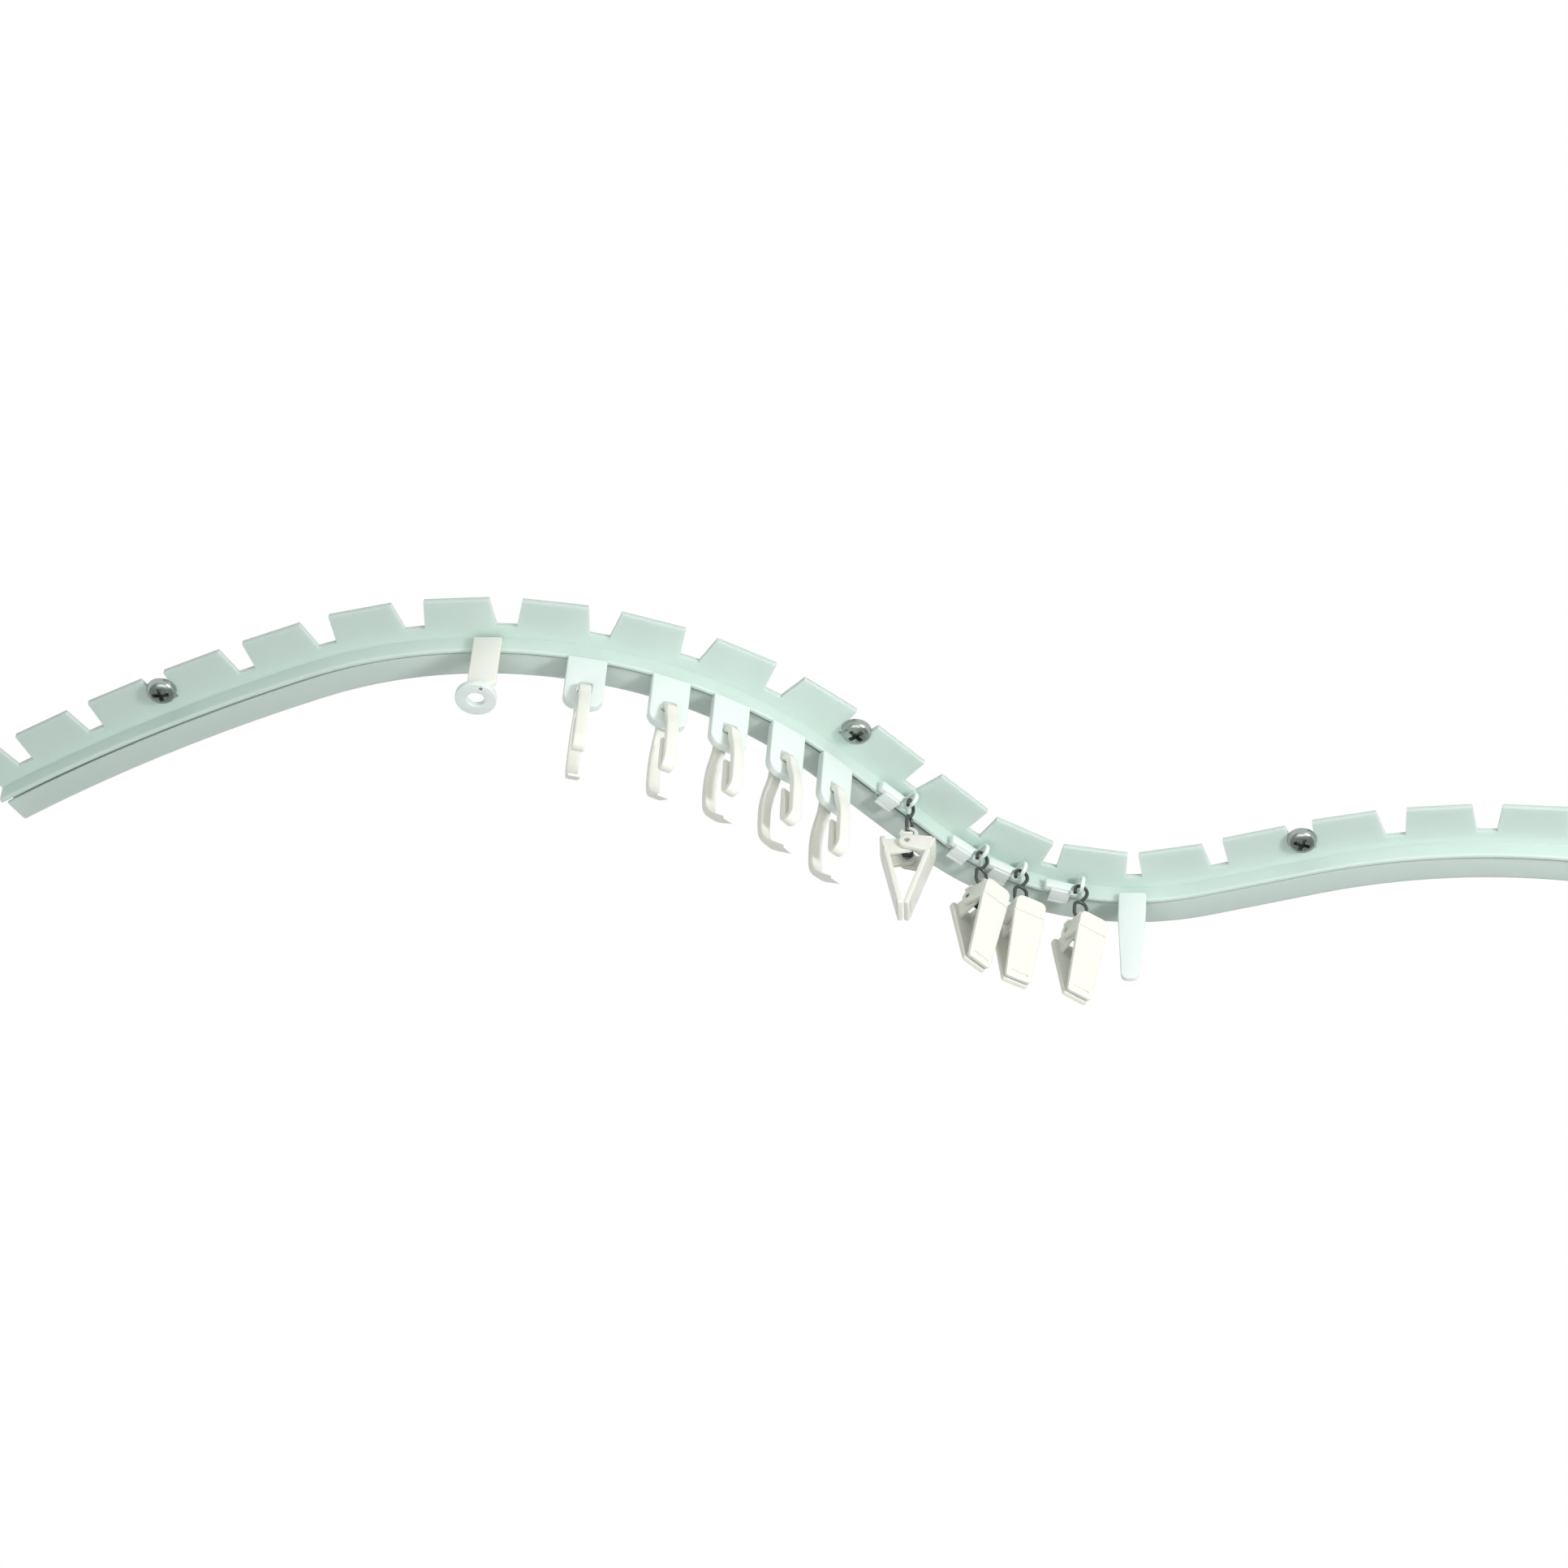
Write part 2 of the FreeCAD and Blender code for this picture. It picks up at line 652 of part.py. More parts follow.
eyelet = Part.makeCylinder(eyelet_diameter / 2, eyelet_thickness,
                           V(-eyelet_side, eyelet_back, eyelet_top - eyelet_thickness))
eyelet = eyelet.cut(Part.makeCylinder(eyelet_bore / 2, 10, V(-eyelet_side, eyelet_back, eyelet_top - 5)))
eyelet = eyelet.cut(Part.makeCylinder(peg_diameter / 2 + peg_clearance, 10, V(0, peg_y, eyelet_top - 5)))
save(at_track(eyelet, left_stop_place), "left_stop_eyelet")

# right end stop
# The same foot, with a tongue that tapers to a rounded tip.
tongue_outline = [
    V(-right_stop_width / 2, stem_front, -right_stop_top),
    V(right_stop_width / 2, stem_front, -right_stop_top),
    V(right_stop_width / 2, stem_front, -right_stop_taper_start),
    V(right_stop_waist / 2, stem_front, -right_stop_bottom),
    V(-right_stop_waist / 2, stem_front, -right_stop_bottom),
    V(-right_stop_width / 2, stem_front, -right_stop_taper_start),
]
tongue = prism(tongue_outline, V(0, left_stop_thickness, 0))
tongue = rounded(tongue, right_stop_waist * 0.42,
                 lambda edge: along(edge, V(0, 1, 0)) and edge.CenterOfMass.z < -right_stop_bottom + 0.1)
tongue = rounded(tongue, 0.8,
                 lambda edge: along(edge, V(0, 1, 0)) and edge.CenterOfMass.z > -right_stop_top - 0.1)
save(at_track(fused([tongue, reach, neck, foot]), right_stop_place), "right_stop")
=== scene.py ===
import math

import bmesh
import bpy
from mathutils import Matrix, Vector


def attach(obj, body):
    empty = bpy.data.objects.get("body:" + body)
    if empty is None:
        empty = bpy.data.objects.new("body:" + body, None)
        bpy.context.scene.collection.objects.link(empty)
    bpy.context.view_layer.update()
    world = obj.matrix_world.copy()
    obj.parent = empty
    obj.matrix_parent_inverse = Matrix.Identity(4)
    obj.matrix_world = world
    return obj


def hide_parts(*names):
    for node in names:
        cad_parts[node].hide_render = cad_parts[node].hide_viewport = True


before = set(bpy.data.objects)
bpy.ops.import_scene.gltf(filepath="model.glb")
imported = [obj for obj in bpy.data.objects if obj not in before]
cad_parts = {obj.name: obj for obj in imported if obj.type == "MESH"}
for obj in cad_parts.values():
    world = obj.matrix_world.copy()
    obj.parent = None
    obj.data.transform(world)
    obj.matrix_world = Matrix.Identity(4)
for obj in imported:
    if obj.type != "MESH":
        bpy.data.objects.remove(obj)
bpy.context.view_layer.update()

# Track rail
# One length of white PVC, extruded as a flange with a fascia and a slotted channel behind it.
# The flange is punched into teeth so that the cut length can be bent by hand to the window.
bend = [(91.5, 510.0), (142.0, 116.3), (35.0, 0.0), (66.0, -59.5), (27.5, 0.0), (72.0, 165.0)]
bend_start = (-191.1194, 43.0645, math.radians(-39.7))
track_length = sum(length for length, radius in bend)
wall_offset = 1.7
flange_thickness = 1.3
root_strip = 3.4
rail_depth = 10.0
wall = 1.2
fascia_foot = -5.7
lip_top = -3.5
lip_foot = -4.3
slot_front = 1.6
slot_back = 2.7
tooth_length = 8.1
notch_pitch = 22.0
first_notch = 10.5
notch_root = 4.4
notch_mouth = 6.2
tooth_overlap = 1.2
bend_steps = 240
rail_white = "D2E6DD"


def linear(code):
    # sRGB hex to linear colour
    shades = [int(code[i:i + 2], 16) / 255 for i in (0, 2, 4)]
    return [c / 12.92 if c <= 0.04045 else ((c + 0.055) / 1.055) ** 2.4 for c in shades] + [1.0]


def add_node(tree, kind, settings=None, links=None):
    # settings name either a socket of the node or one of its properties
    node = tree.nodes.new(kind)
    for key, value in (settings or {}).items():
        if isinstance(key, int) or key in node.inputs:
            node.inputs[key].default_value = value
        else:
            setattr(node, key, value)
    for key, socket in (links or {}).items():
        tree.links.new(socket, node.inputs[key])
    return node


def new_material(name):
    material = bpy.data.materials.new(name)
    material.use_nodes = True
    material.node_tree.nodes.clear()
    return material, material.node_tree


def new_tree(name, sizes):
    # an empty geometry tree with one named input for each size
    tree = bpy.data.node_groups.new(name, "GeometryNodeTree")
    tree.interface.new_socket("Geometry", in_out="INPUT", socket_type="NodeSocketGeometry")
    tree.interface.new_socket("Geometry", in_out="OUTPUT", socket_type="NodeSocketGeometry")
    for label, kind in sizes:
        tree.interface.new_socket(label, in_out="INPUT", socket_type="NodeSocket" + kind)
    return tree, tree.nodes.new("NodeGroupInput")


def put_in_scene(name, data):
    thing = bpy.data.objects.new(name, data)
    bpy.context.scene.collection.objects.link(thing)
    return thing


def worked_out(thing):
    # the plain mesh that an object shows with its modifiers
    bpy.context.view_layer.update()
    ready = thing.evaluated_get(bpy.context.evaluated_depsgraph_get())
    return bpy.data.meshes.new_from_object(ready)


def as_mesh(made, name):
    # hands a finished bmesh back as a mesh, with its faces turned outward
    bmesh.ops.recalc_face_normals(made, faces=made.faces)
    mesh = bpy.data.meshes.new(name)
    made.to_mesh(mesh)
    made.free()
    return mesh


def grown(tree, source, values):
    # runs a geometry tree on a mesh and hands back the plain mesh that it makes
    holder = put_in_scene(tree.name, source)
    modifier = holder.modifiers.new(tree.name, "NODES")
    modifier.node_group = tree
    for item in tree.interface.items_tree:
        if item.item_type == "SOCKET" and item.in_out == "INPUT" and item.name in values:
            modifier[item.identifier] = values[item.name]
    mesh = worked_out(holder)
    holder.modifiers.clear()
    bpy.data.objects.remove(holder)
    return mesh


def polyline(points, closed=False):
    mesh = bpy.data.meshes.new("line")
    edges = [(i, i + 1) for i in range(len(points) - 1)]
    if closed:
        edges.append((len(points) - 1, 0))
    mesh.from_pydata([tuple(p) for p in points], edges, [])
    return mesh


def track_line(distance):
    x, y, heading = bend_start
    for length, radius in bend:
        step = min(max(distance, 0.0), length)
        if radius:
            turned = heading + step / radius
            x += radius * (math.sin(turned) - math.sin(heading))
            y -= radius * (math.cos(turned) - math.cos(heading))
            heading = turned
        else:
            x += step * math.cos(heading)
            y += step * math.sin(heading)
        distance -= step
    return x, y, heading


def at_track(distance):
    # millimetres along, behind the fascia and up, to the place in the room in metres
    x, y, heading = track_line(distance)
    turn = Matrix.Rotation(heading, 4, "Z")
    shift = Matrix.Translation((0, wall_offset, 0))
    return Matrix.Scale(0.001, 4) @ Matrix.Translation((x, y, 0)) @ turn @ shift


def soft_corners(points, radii, steps=5):
    # a closed outline whose corners are turned to arcs
    found = []
    for i, here in enumerate(points):
        before = Vector(points[i - 1]) - Vector(here)
        after = Vector(points[(i + 1) % len(points)]) - Vector(here)
        radius = radii[i] if isinstance(radii, (list, tuple)) else radii
        if radius <= 0:
            found.append(tuple(here))
            continue
        half = before.angle(after) / 2
        back = min(radius / math.tan(half), before.length * 0.49, after.length * 0.49)
        radius = back * math.tan(half)
        inward = (before.normalized() + after.normalized()).normalized()
        centre = Vector(here) + inward * (radius / math.sin(half))
        first = Vector(here) + before.normalized() * back - centre
        last = Vector(here) + after.normalized() * back - centre
        sweep = first.angle_signed(last) if first.length and last.length else 0.0
        for k in range(steps + 1):
            turn = -sweep * k / steps
            c, s = math.cos(turn), math.sin(turn)
            found.append((centre.x + first.x * c - first.y * s,
                          centre.y + first.x * s + first.y * c))
    return found


def joined(name, parts, material, body, replaced, sharp=32):
    # parts are meshes in millimetres with the matrix that puts each in its place
    whole = bmesh.new()
    for mesh, place in parts:
        copy = mesh.copy()
        copy.transform(place)
        whole.from_mesh(copy)
        bpy.data.meshes.remove(copy)
    bmesh.ops.remove_doubles(whole, verts=whole.verts, dist=0.000002)
    mesh = as_mesh(whole, name)
    mesh.materials.append(material)
    mesh.polygons.foreach_set("material_index", [0] * len(mesh.polygons))
    mesh.shade_smooth()
    mesh.set_sharp_from_angle(angle=math.radians(sharp))
    piece = put_in_scene(name, mesh)
    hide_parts(*replaced)
    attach(piece, body)


# extruded PVC, satin: a soft broad shine, a faint grain, and a little light passing its thin walls
rail_pvc, tree = new_material("extruded PVC")
place = add_node(tree, "ShaderNodeTexCoord")
grain = add_node(tree, "ShaderNodeTexNoise", {"Scale": 900.0, "Detail": 2.0},
                 {"Vector": place.outputs["Object"]})
bump = add_node(tree, "ShaderNodeBump", {"Strength": 0.04, "Distance": 0.0002},
                {"Height": grain.outputs[0]})
skin = add_node(tree, "ShaderNodeBsdfPrincipled", {
    "Base Color": linear(rail_white), "Roughness": 0.42, "IOR": 1.53,
    "Subsurface Weight": 0.5, "Subsurface Radius": (0.003, 0.0035, 0.0032), "Subsurface Scale": 1.0,
}, {"Normal": bump.outputs[0]})
add_node(tree, "ShaderNodeOutputMaterial", None, {"Surface": skin.outputs[0]})

# the cut across the rail, y back from the fascia's face and z up to the ceiling: flange, back wall,
# back lip, slot, front lip and fascia
section = soft_corners(
    [(-root_strip, 0.0), (rail_depth, 0.0), (rail_depth, lip_foot), (slot_back, lip_foot),
     (slot_back, lip_top), (rail_depth - wall, lip_top), (rail_depth - wall, -flange_thickness),
     (wall, -flange_thickness), (wall, lip_top), (slot_front, lip_top), (slot_front, lip_foot),
     (wall, lip_foot), (wall, fascia_foot), (0.0, fascia_foot), (0.0, -flange_thickness),
     (-root_strip, -flange_thickness)],
    [0, 0.15, 1.6, 0.25, 0.15, 0.2, 0.2, 0.2, 0.15, 0.12, 0.2, 0.1, 0.3, 0.45, 0.15, 0], 4)
section_line = polyline([(-(y + wall_offset), -z, 0) for y, z in section], closed=True)
section_holder = put_in_scene("rail section", section_line)
bend_line = polyline([track_line(track_length * i / bend_steps)[:2] + (0.0,)
                      for i in range(bend_steps + 1)])

tree, sizes = new_tree("Bent toothed rail", [
    ("Section", "Object"), ("First Tooth", "Float"), ("Last Tooth", "Float"), ("Teeth", "Int"),
    ("Root Width", "Float"), ("Tip Width", "Float"), ("Left End Root", "Float"),
    ("Left End Tip", "Float"), ("Right End Root", "Float"), ("Right End Tip", "Float"),
    ("Tooth Length", "Float"), ("Root Behind Line", "Float"), ("Overlap", "Float"),
    ("Thickness", "Float"), ("Track Length", "Float"), ("Material", "Material")])
line = add_node(tree, "GeometryNodeMeshToCurve", None, {"Mesh": sizes.outputs["Geometry"]})
level = add_node(tree, "GeometryNodeSetCurveNormal", {"mode": "Z_UP"}, {"Curve": line.outputs[0]})
drawn = add_node(tree, "GeometryNodeObjectInfo", None, {"Object": sizes.outputs["Section"]})
outline = add_node(tree, "GeometryNodeMeshToCurve", None, {"Mesh": drawn.outputs["Geometry"]})
bar = add_node(tree, "GeometryNodeCurveToMesh", {"Fill Caps": True},
               {"Curve": level.outputs[0], "Profile Curve": outline.outputs[0]})


def punched(tree, sizes, level, first, last, count, root, tip, side):
    # flat tapered teeth set along the line, side tells which edge stays square
    trimmed = add_node(tree, "GeometryNodeTrimCurve", {"mode": "LENGTH"},
                       {"Curve": level.outputs[0], 4: first, 5: last})
    spots = add_node(tree, "GeometryNodeCurveToPoints", {"mode": "COUNT"},
                     {"Curve": trimmed.outputs[0], "Count": count})
    facing = add_node(tree, "FunctionNodeAlignRotationToVector", {"axis": "X", "pivot_axis": "Z"},
                      {"Vector": spots.outputs["Tangent"]})
    deep = add_node(tree, "ShaderNodeMath", {"operation": "ADD"},
                    {0: sizes.outputs["Tooth Length"], 1: sizes.outputs["Overlap"]})
    blank_size = add_node(tree, "ShaderNodeCombineXYZ", None,
                          {0: root, 1: deep.outputs[0], 2: sizes.outputs["Thickness"]})
    blank = add_node(tree, "GeometryNodeMeshCube", None, {"Size": blank_size.outputs[0]})
    half = add_node(tree, "ShaderNodeMath", {"operation": "MULTIPLY", 1: 0.5 * side}, {0: root})
    to_side = add_node(tree, "ShaderNodeCombineXYZ", None, {0: half.outputs[0]})
    squared = add_node(tree, "GeometryNodeTransform", None,
                       {"Geometry": blank.outputs["Mesh"], "Translation": to_side.outputs[0]})
    where = add_node(tree, "GeometryNodeInputPosition")
    axes = add_node(tree, "ShaderNodeSeparateXYZ", None, {0: where.outputs[0]})
    low = add_node(tree, "ShaderNodeMath", {"operation": "MULTIPLY", 1: -0.5}, {0: deep.outputs[0]})
    high = add_node(tree, "ShaderNodeMath", {"operation": "MULTIPLY", 1: 0.5}, {0: deep.outputs[0]})
    ratio = add_node(tree, "ShaderNodeMath", {"operation": "DIVIDE"}, {0: tip, 1: root})
    narrow = add_node(tree, "ShaderNodeMapRange", {"To Max": 1.0},
                      {"Value": axes.outputs[1], "From Min": low.outputs[0],
                       "From Max": high.outputs[0], "To Min": ratio.outputs[0]})
    across = add_node(tree, "ShaderNodeMath", {"operation": "MULTIPLY"},
                      {0: axes.outputs[0], 1: narrow.outputs[0]})
    new_place = add_node(tree, "ShaderNodeCombineXYZ", None,
                         {0: across.outputs[0], 1: axes.outputs[1], 2: axes.outputs[2]})
    tapered = add_node(tree, "GeometryNodeSetPosition", None,
                       {"Geometry": squared.outputs[0], "Position": new_place.outputs[0]})
    reach = add_node(tree, "ShaderNodeMath", {"operation": "SUBTRACT"},
                     {0: sizes.outputs["Root Behind Line"], 1: low.outputs[0]})
    inward = add_node(tree, "ShaderNodeMath", {"operation": "SUBTRACT"},
                      {0: reach.outputs[0], 1: deep.outputs[0]})
    inner = add_node(tree, "ShaderNodeMath", {"operation": "ADD"},
                     {0: inward.outputs[0], 1: sizes.outputs["Overlap"]})
    drop = add_node(tree, "ShaderNodeMath", {"operation": "MULTIPLY", 1: -0.5},
                    {0: sizes.outputs["Thickness"]})
    seat = add_node(tree, "ShaderNodeCombineXYZ", None, {1: inner.outputs[0], 2: drop.outputs[0]})
    seated = add_node(tree, "GeometryNodeTransform", None,
                      {"Geometry": tapered.outputs[0], "Translation": seat.outputs[0]})
    return add_node(tree, "GeometryNodeInstanceOnPoints", None,
                    {"Points": spots.outputs["Points"], "Instance": seated.outputs[0],
                     "Rotation": facing.outputs[0]})


one = add_node(tree, "FunctionNodeInputInt", {"integer": 1})
near_start = add_node(tree, "ShaderNodeMath", {"operation": "MULTIPLY", 1: 0.0001},
                      {0: sizes.outputs["Track Length"]})
near_end = add_node(tree, "ShaderNodeMath", {"operation": "MULTIPLY", 1: 0.9999},
                    {0: sizes.outputs["Track Length"]})
nought = add_node(tree, "ShaderNodeMath", {"operation": "MULTIPLY", 1: 0.0},
                  {0: sizes.outputs["Track Length"]})
between = punched(tree, sizes, level, sizes.outputs["First Tooth"], sizes.outputs["Last Tooth"],
                  sizes.outputs["Teeth"], sizes.outputs["Root Width"],
                  sizes.outputs["Tip Width"], 0)
left_end = punched(tree, sizes, level, nought.outputs[0], near_start.outputs[0], one.outputs[0],
                   sizes.outputs["Left End Root"], sizes.outputs["Left End Tip"], 1)
right_end = punched(tree, sizes, level, near_end.outputs[0], sizes.outputs["Track Length"],
                    one.outputs[0], sizes.outputs["Right End Root"],
                    sizes.outputs["Right End Tip"], -1)
teeth = add_node(tree, "GeometryNodeJoinGeometry")
for row in (between, left_end, right_end):
    tree.links.new(row.outputs[0], teeth.inputs[0])
loose = add_node(tree, "GeometryNodeRealizeInstances", None, {"Geometry": teeth.outputs[0]})
whole = add_node(tree, "GeometryNodeMeshBoolean", {"operation": "UNION", "solver": "EXACT"})
tree.links.new(bar.outputs[0], whole.inputs[1])
tree.links.new(loose.outputs[0], whole.inputs[1])
real = add_node(tree, "GeometryNodeRealizeInstances", None, {"Geometry": whole.outputs[0]})
coated = add_node(tree, "GeometryNodeSetMaterial", None,
                  {"Geometry": real.outputs[0], "Material": sizes.outputs["Material"]})
add_node(tree, "NodeGroupOutput", None, {0: coated.outputs[0]})

last_notch = first_notch + notch_pitch * int((track_length - first_notch) / notch_pitch)
tooth_count = round((last_notch - first_notch) / notch_pitch)
rail = grown(tree, bend_line, {
    "Section": section_holder, "First Tooth": first_notch + notch_pitch / 2,
    "Last Tooth": last_notch - notch_pitch / 2, "Teeth": tooth_count,
    "Root Width": notch_pitch - notch_root, "Tip Width": notch_pitch - notch_mouth,
    "Left End Root": first_notch - notch_root / 2, "Left End Tip": first_notch - notch_mouth / 2,
    "Right End Root": track_length - last_notch - notch_root / 2,
    "Right End Tip": track_length - last_notch - notch_mouth / 2,
    "Tooth Length": tooth_length, "Root Behind Line": wall_offset - root_strip,
    "Overlap": tooth_overlap,
    "Thickness": flange_thickness, "Track Length": track_length, "Material": rail_pvc})
bpy.data.objects.remove(section_holder)
joined("track_rail_skin", [(rail, Matrix.Scale(0.001, 4))], rail_pvc, "track",
       ["track_rail"])

# Fixing screws
# Three zinc plated pan head wood screws with a cross recess, driven up through notches of the
# flange. Each head bears on the two teeth beside its notch.
# which notch each screw is in, and how far it is turned
screw_places = [(2, 20.0), (10, 5.0), (16, 35.0)]
screw_back = 4.2
thread_start = 0.5
head_outline = [(0.0, 0.0), (3.65, 0.0), (3.65, -0.75), (3.55, -1.25), (3.3, -1.7), (2.85, -2.05),
                (2.2, -2.22), (1.2, -2.3), (0.0, -2.3)]
shank_outline = [(0.0, -0.2), (1.2, -0.2), (1.2, 12.0), (0.12, 16.0), (0.0, 16.0)]


def lathe(outline, steps=40):
    # turns a half outline of radius and height about the z axis
    turned = bmesh.new()
    angles = [2 * math.pi * k / steps for k in range(steps)]
    rows = [[turned.verts.new((r * math.cos(a), r * math.sin(a), z)) for a in angles] if r > 0
            else [turned.verts.new((0, 0, z))] for r, z in outline]
    for low, high in zip(rows, rows[1:]):
        for k in range(steps):
            corners = [low[k % len(low)], low[(k + 1) % len(low)],
                       high[(k + 1) % len(high)], high[k % len(high)]]
            kept = []
            for corner in corners:
                if corner not in kept:
                    kept.append(corner)
            if len(kept) > 2:
                turned.faces.new(kept)
    return as_mesh(turned, "turned")


def wedge(half_top, half_low, thick_top, thick_low, top, low):
    # a block that narrows from the top to the low face
    made = bmesh.new()
    corners = []
    around = ((-1, -1), (1, -1), (1, 1), (-1, 1))
    for z, across, along in ((top, half_top, thick_top / 2), (low, half_low, thick_low / 2)):
        corners += [made.verts.new((x * across, y * along, z)) for x, y in around]
    for face in ((0, 1, 2, 3), (4, 5, 6, 7), (0, 1, 5, 4), (1, 2, 6, 5), (2, 3, 7, 6),
                 (3, 0, 4, 7)):
        made.faces.new([corners[i] for i in face])
    return as_mesh(made, "wedge")


def combined(mesh, tools, way):
    # cuts or adds closed shapes, one after the other
    for tool in tools:
        body = put_in_scene("body", mesh)
        cutter = put_in_scene("cutter", tool)
        step = body.modifiers.new("step", "BOOLEAN")
        step.operation = way
        step.solver = "EXACT"
        step.object = cutter
        mesh = worked_out(body)
        body.modifiers.clear()
        bpy.data.objects.remove(body)
        bpy.data.objects.remove(cutter)
    return mesh


# zinc plated steel: a grey metal whose soft shine is broken up by small duller patches
screw_steel, tree = new_material("zinc plated steel")
place = add_node(tree, "ShaderNodeTexCoord")
patches = add_node(tree, "ShaderNodeTexNoise", {"Scale": 1500.0, "Detail": 3.0},
                   {"Vector": place.outputs["Object"]})
shine = add_node(tree, "ShaderNodeMapRange", {"To Min": 0.16, "To Max": 0.46},
                 {"Value": patches.outputs[0]})
skin = add_node(tree, "ShaderNodeBsdfPrincipled", {"Base Color": linear("A9B1AC"), "Metallic": 1.0},
                {"Roughness": shine.outputs[0]})
add_node(tree, "ShaderNodeOutputMaterial", None, {"Surface": skin.outputs[0]})

cross = wedge(2.15, 1.45, 1.15, 0.9, -2.6, -0.25)
turned_cross = cross.copy()
turned_cross.transform(Matrix.Rotation(math.pi / 2, 4, "Z"))
pan_head = combined(lathe(head_outline), [cross, turned_cross], "DIFFERENCE")

tree, sizes = new_tree("Screw thread", [
    ("Turns", "Float"), ("Height", "Float"), ("Radius", "Float"), ("Depth", "Float"),
    ("Material", "Material")])
coil = add_node(tree, "GeometryNodeCurveSpiral", {"Resolution": 20},
                {"Rotations": sizes.outputs["Turns"], "Start Radius": sizes.outputs["Radius"],
                 "End Radius": sizes.outputs["Radius"], "Height": sizes.outputs["Height"]})
level = add_node(tree, "GeometryNodeSetCurveNormal", {"mode": "Z_UP"}, {"Curve": coil.outputs[0]})
ridge = add_node(tree, "GeometryNodeCurvePrimitiveCircle", {"Resolution": 3},
                 {"Radius": sizes.outputs["Depth"]})
thread = add_node(tree, "GeometryNodeCurveToMesh", {"Fill Caps": True},
                  {"Curve": level.outputs[0], "Profile Curve": ridge.outputs[0]})
real = add_node(tree, "GeometryNodeRealizeInstances", None, {"Geometry": thread.outputs[0]})
coated = add_node(tree, "GeometryNodeSetMaterial", None,
                  {"Geometry": real.outputs[0], "Material": sizes.outputs["Material"]})
add_node(tree, "NodeGroupOutput", None, {0: coated.outputs[0]})
thread = grown(tree, polyline([(0, 0, 0), (0, 0, 1)]), {
    "Turns": 9.0, "Height": 11.4, "Radius": 1.25, "Depth": 0.42, "Material": screw_steel})
shank = lathe(shank_outline, 24)
screw_parts = []
for notch, turn in screw_places:
    place = (at_track(first_notch + notch * notch_pitch)
             @ Matrix.Translation((0, -root_strip - tooth_length + screw_back, -flange_thickness))
             @ Matrix.Rotation(math.radians(turn), 4, "Z"))
    screw_parts += [(pan_head, place), (shank, place),
                    (thread, place @ Matrix.Translation((0, 0, thread_start)))]
joined("screws_skin", screw_parts, screw_steel, "track",
       ["screw_left", "screw_middle", "screw_right"], 40)

# Tab gliders
# Five moulded acetal tabs. A flat head slides in the channel, a neck passes down the slot, and
# the tab hangs under the fascia with a square eye for the hook.
glider_places = [162.6, 183.7, 199.7, 216.0, 231.6]
under_fascia = fascia_foot - 0.2
bridge_foot = -8.1
tab_half = 4.8
tab_foot = -22.3
tab_thickness = 2.2
tab_middle = 0.7
eye_half = 1.8
eye_top = -14.3
eye_bottom = -18.1
foot_half = 3.5
neck_half = 2.5
neck_front = slot_front + 0.15
neck_back = slot_back - 0.2


def cut_plate(outline, holes, thickness, edge, steps=3):
    # a flat plate in the xy plane with rounded edges, half its thickness on each side of z = 0
    drawn = bpy.data.curves.new("plate", "CURVE")
    drawn.dimensions = "2D"
    drawn.fill_mode = "BOTH"
    drawn.extrude = thickness / 2 - edge
    drawn.bevel_depth = edge
    drawn.bevel_resolution = steps
    drawn.offset = -edge
    for ring in [outline] + holes:
        spline = drawn.splines.new("POLY")
        spline.points.add(len(ring) - 1)
        for point, (x, y) in zip(spline.points, ring):
            point.co = (x, y, 0, 1)
        spline.use_cyclic_u = True
    holder = put_in_scene("plate", drawn)
    mesh = worked_out(holder)
    bpy.data.objects.remove(holder)
    made = bmesh.new()
    made.from_mesh(mesh)
    bmesh.ops.remove_doubles(made, verts=made.verts, dist=0.002)
    bmesh.ops.recalc_face_normals(made, faces=made.faces)
    made.to_mesh(mesh)
    made.free()
    return mesh


def block(x0, x1, y0, y1, z0, z1, edge=0.0, steps=3):
    # a box between two corners, with its edges rounded
    made = bmesh.new()
    bmesh.ops.create_cube(made, size=1.0)
    middle = Vector(((x0 + x1) / 2, (y0 + y1) / 2, (z0 + z1) / 2))
    span = Vector((x1 - x0, y1 - y0, z1 - z0))
    for vert in made.verts:
        vert.co = middle + vert.co * span
    if edge:
        bmesh.ops.bevel(made, geom=made.edges[:], offset=edge, segments=steps, profile=0.5,
                        affect="EDGES")
    return as_mesh(made, "block")


def sliding_foot(down_to):
    # flat head in the channel and the neck that goes down through the slot
    return [block(-foot_half, foot_half, wall + 0.3, 6.6, lip_top + 0.05, -1.85, 0.25),
            block(-neck_half, neck_half, neck_front, neck_back, down_to, -3.1, 0.12)]


# moulded acetal, bluish white: smooth, with a soft shine, a little light passes its thin edges
white_plastic, tree = new_material("moulded acetal")
skin = add_node(tree, "ShaderNodeBsdfPrincipled", {
    "Base Color": linear("EAF4F1"), "Roughness": 0.34, "IOR": 1.48,
    "Subsurface Weight": 0.12, "Subsurface Radius": (0.0018, 0.002, 0.0018),
    "Subsurface Scale": 1.0})
add_node(tree, "ShaderNodeOutputMaterial", None, {"Surface": skin.outputs[0]})

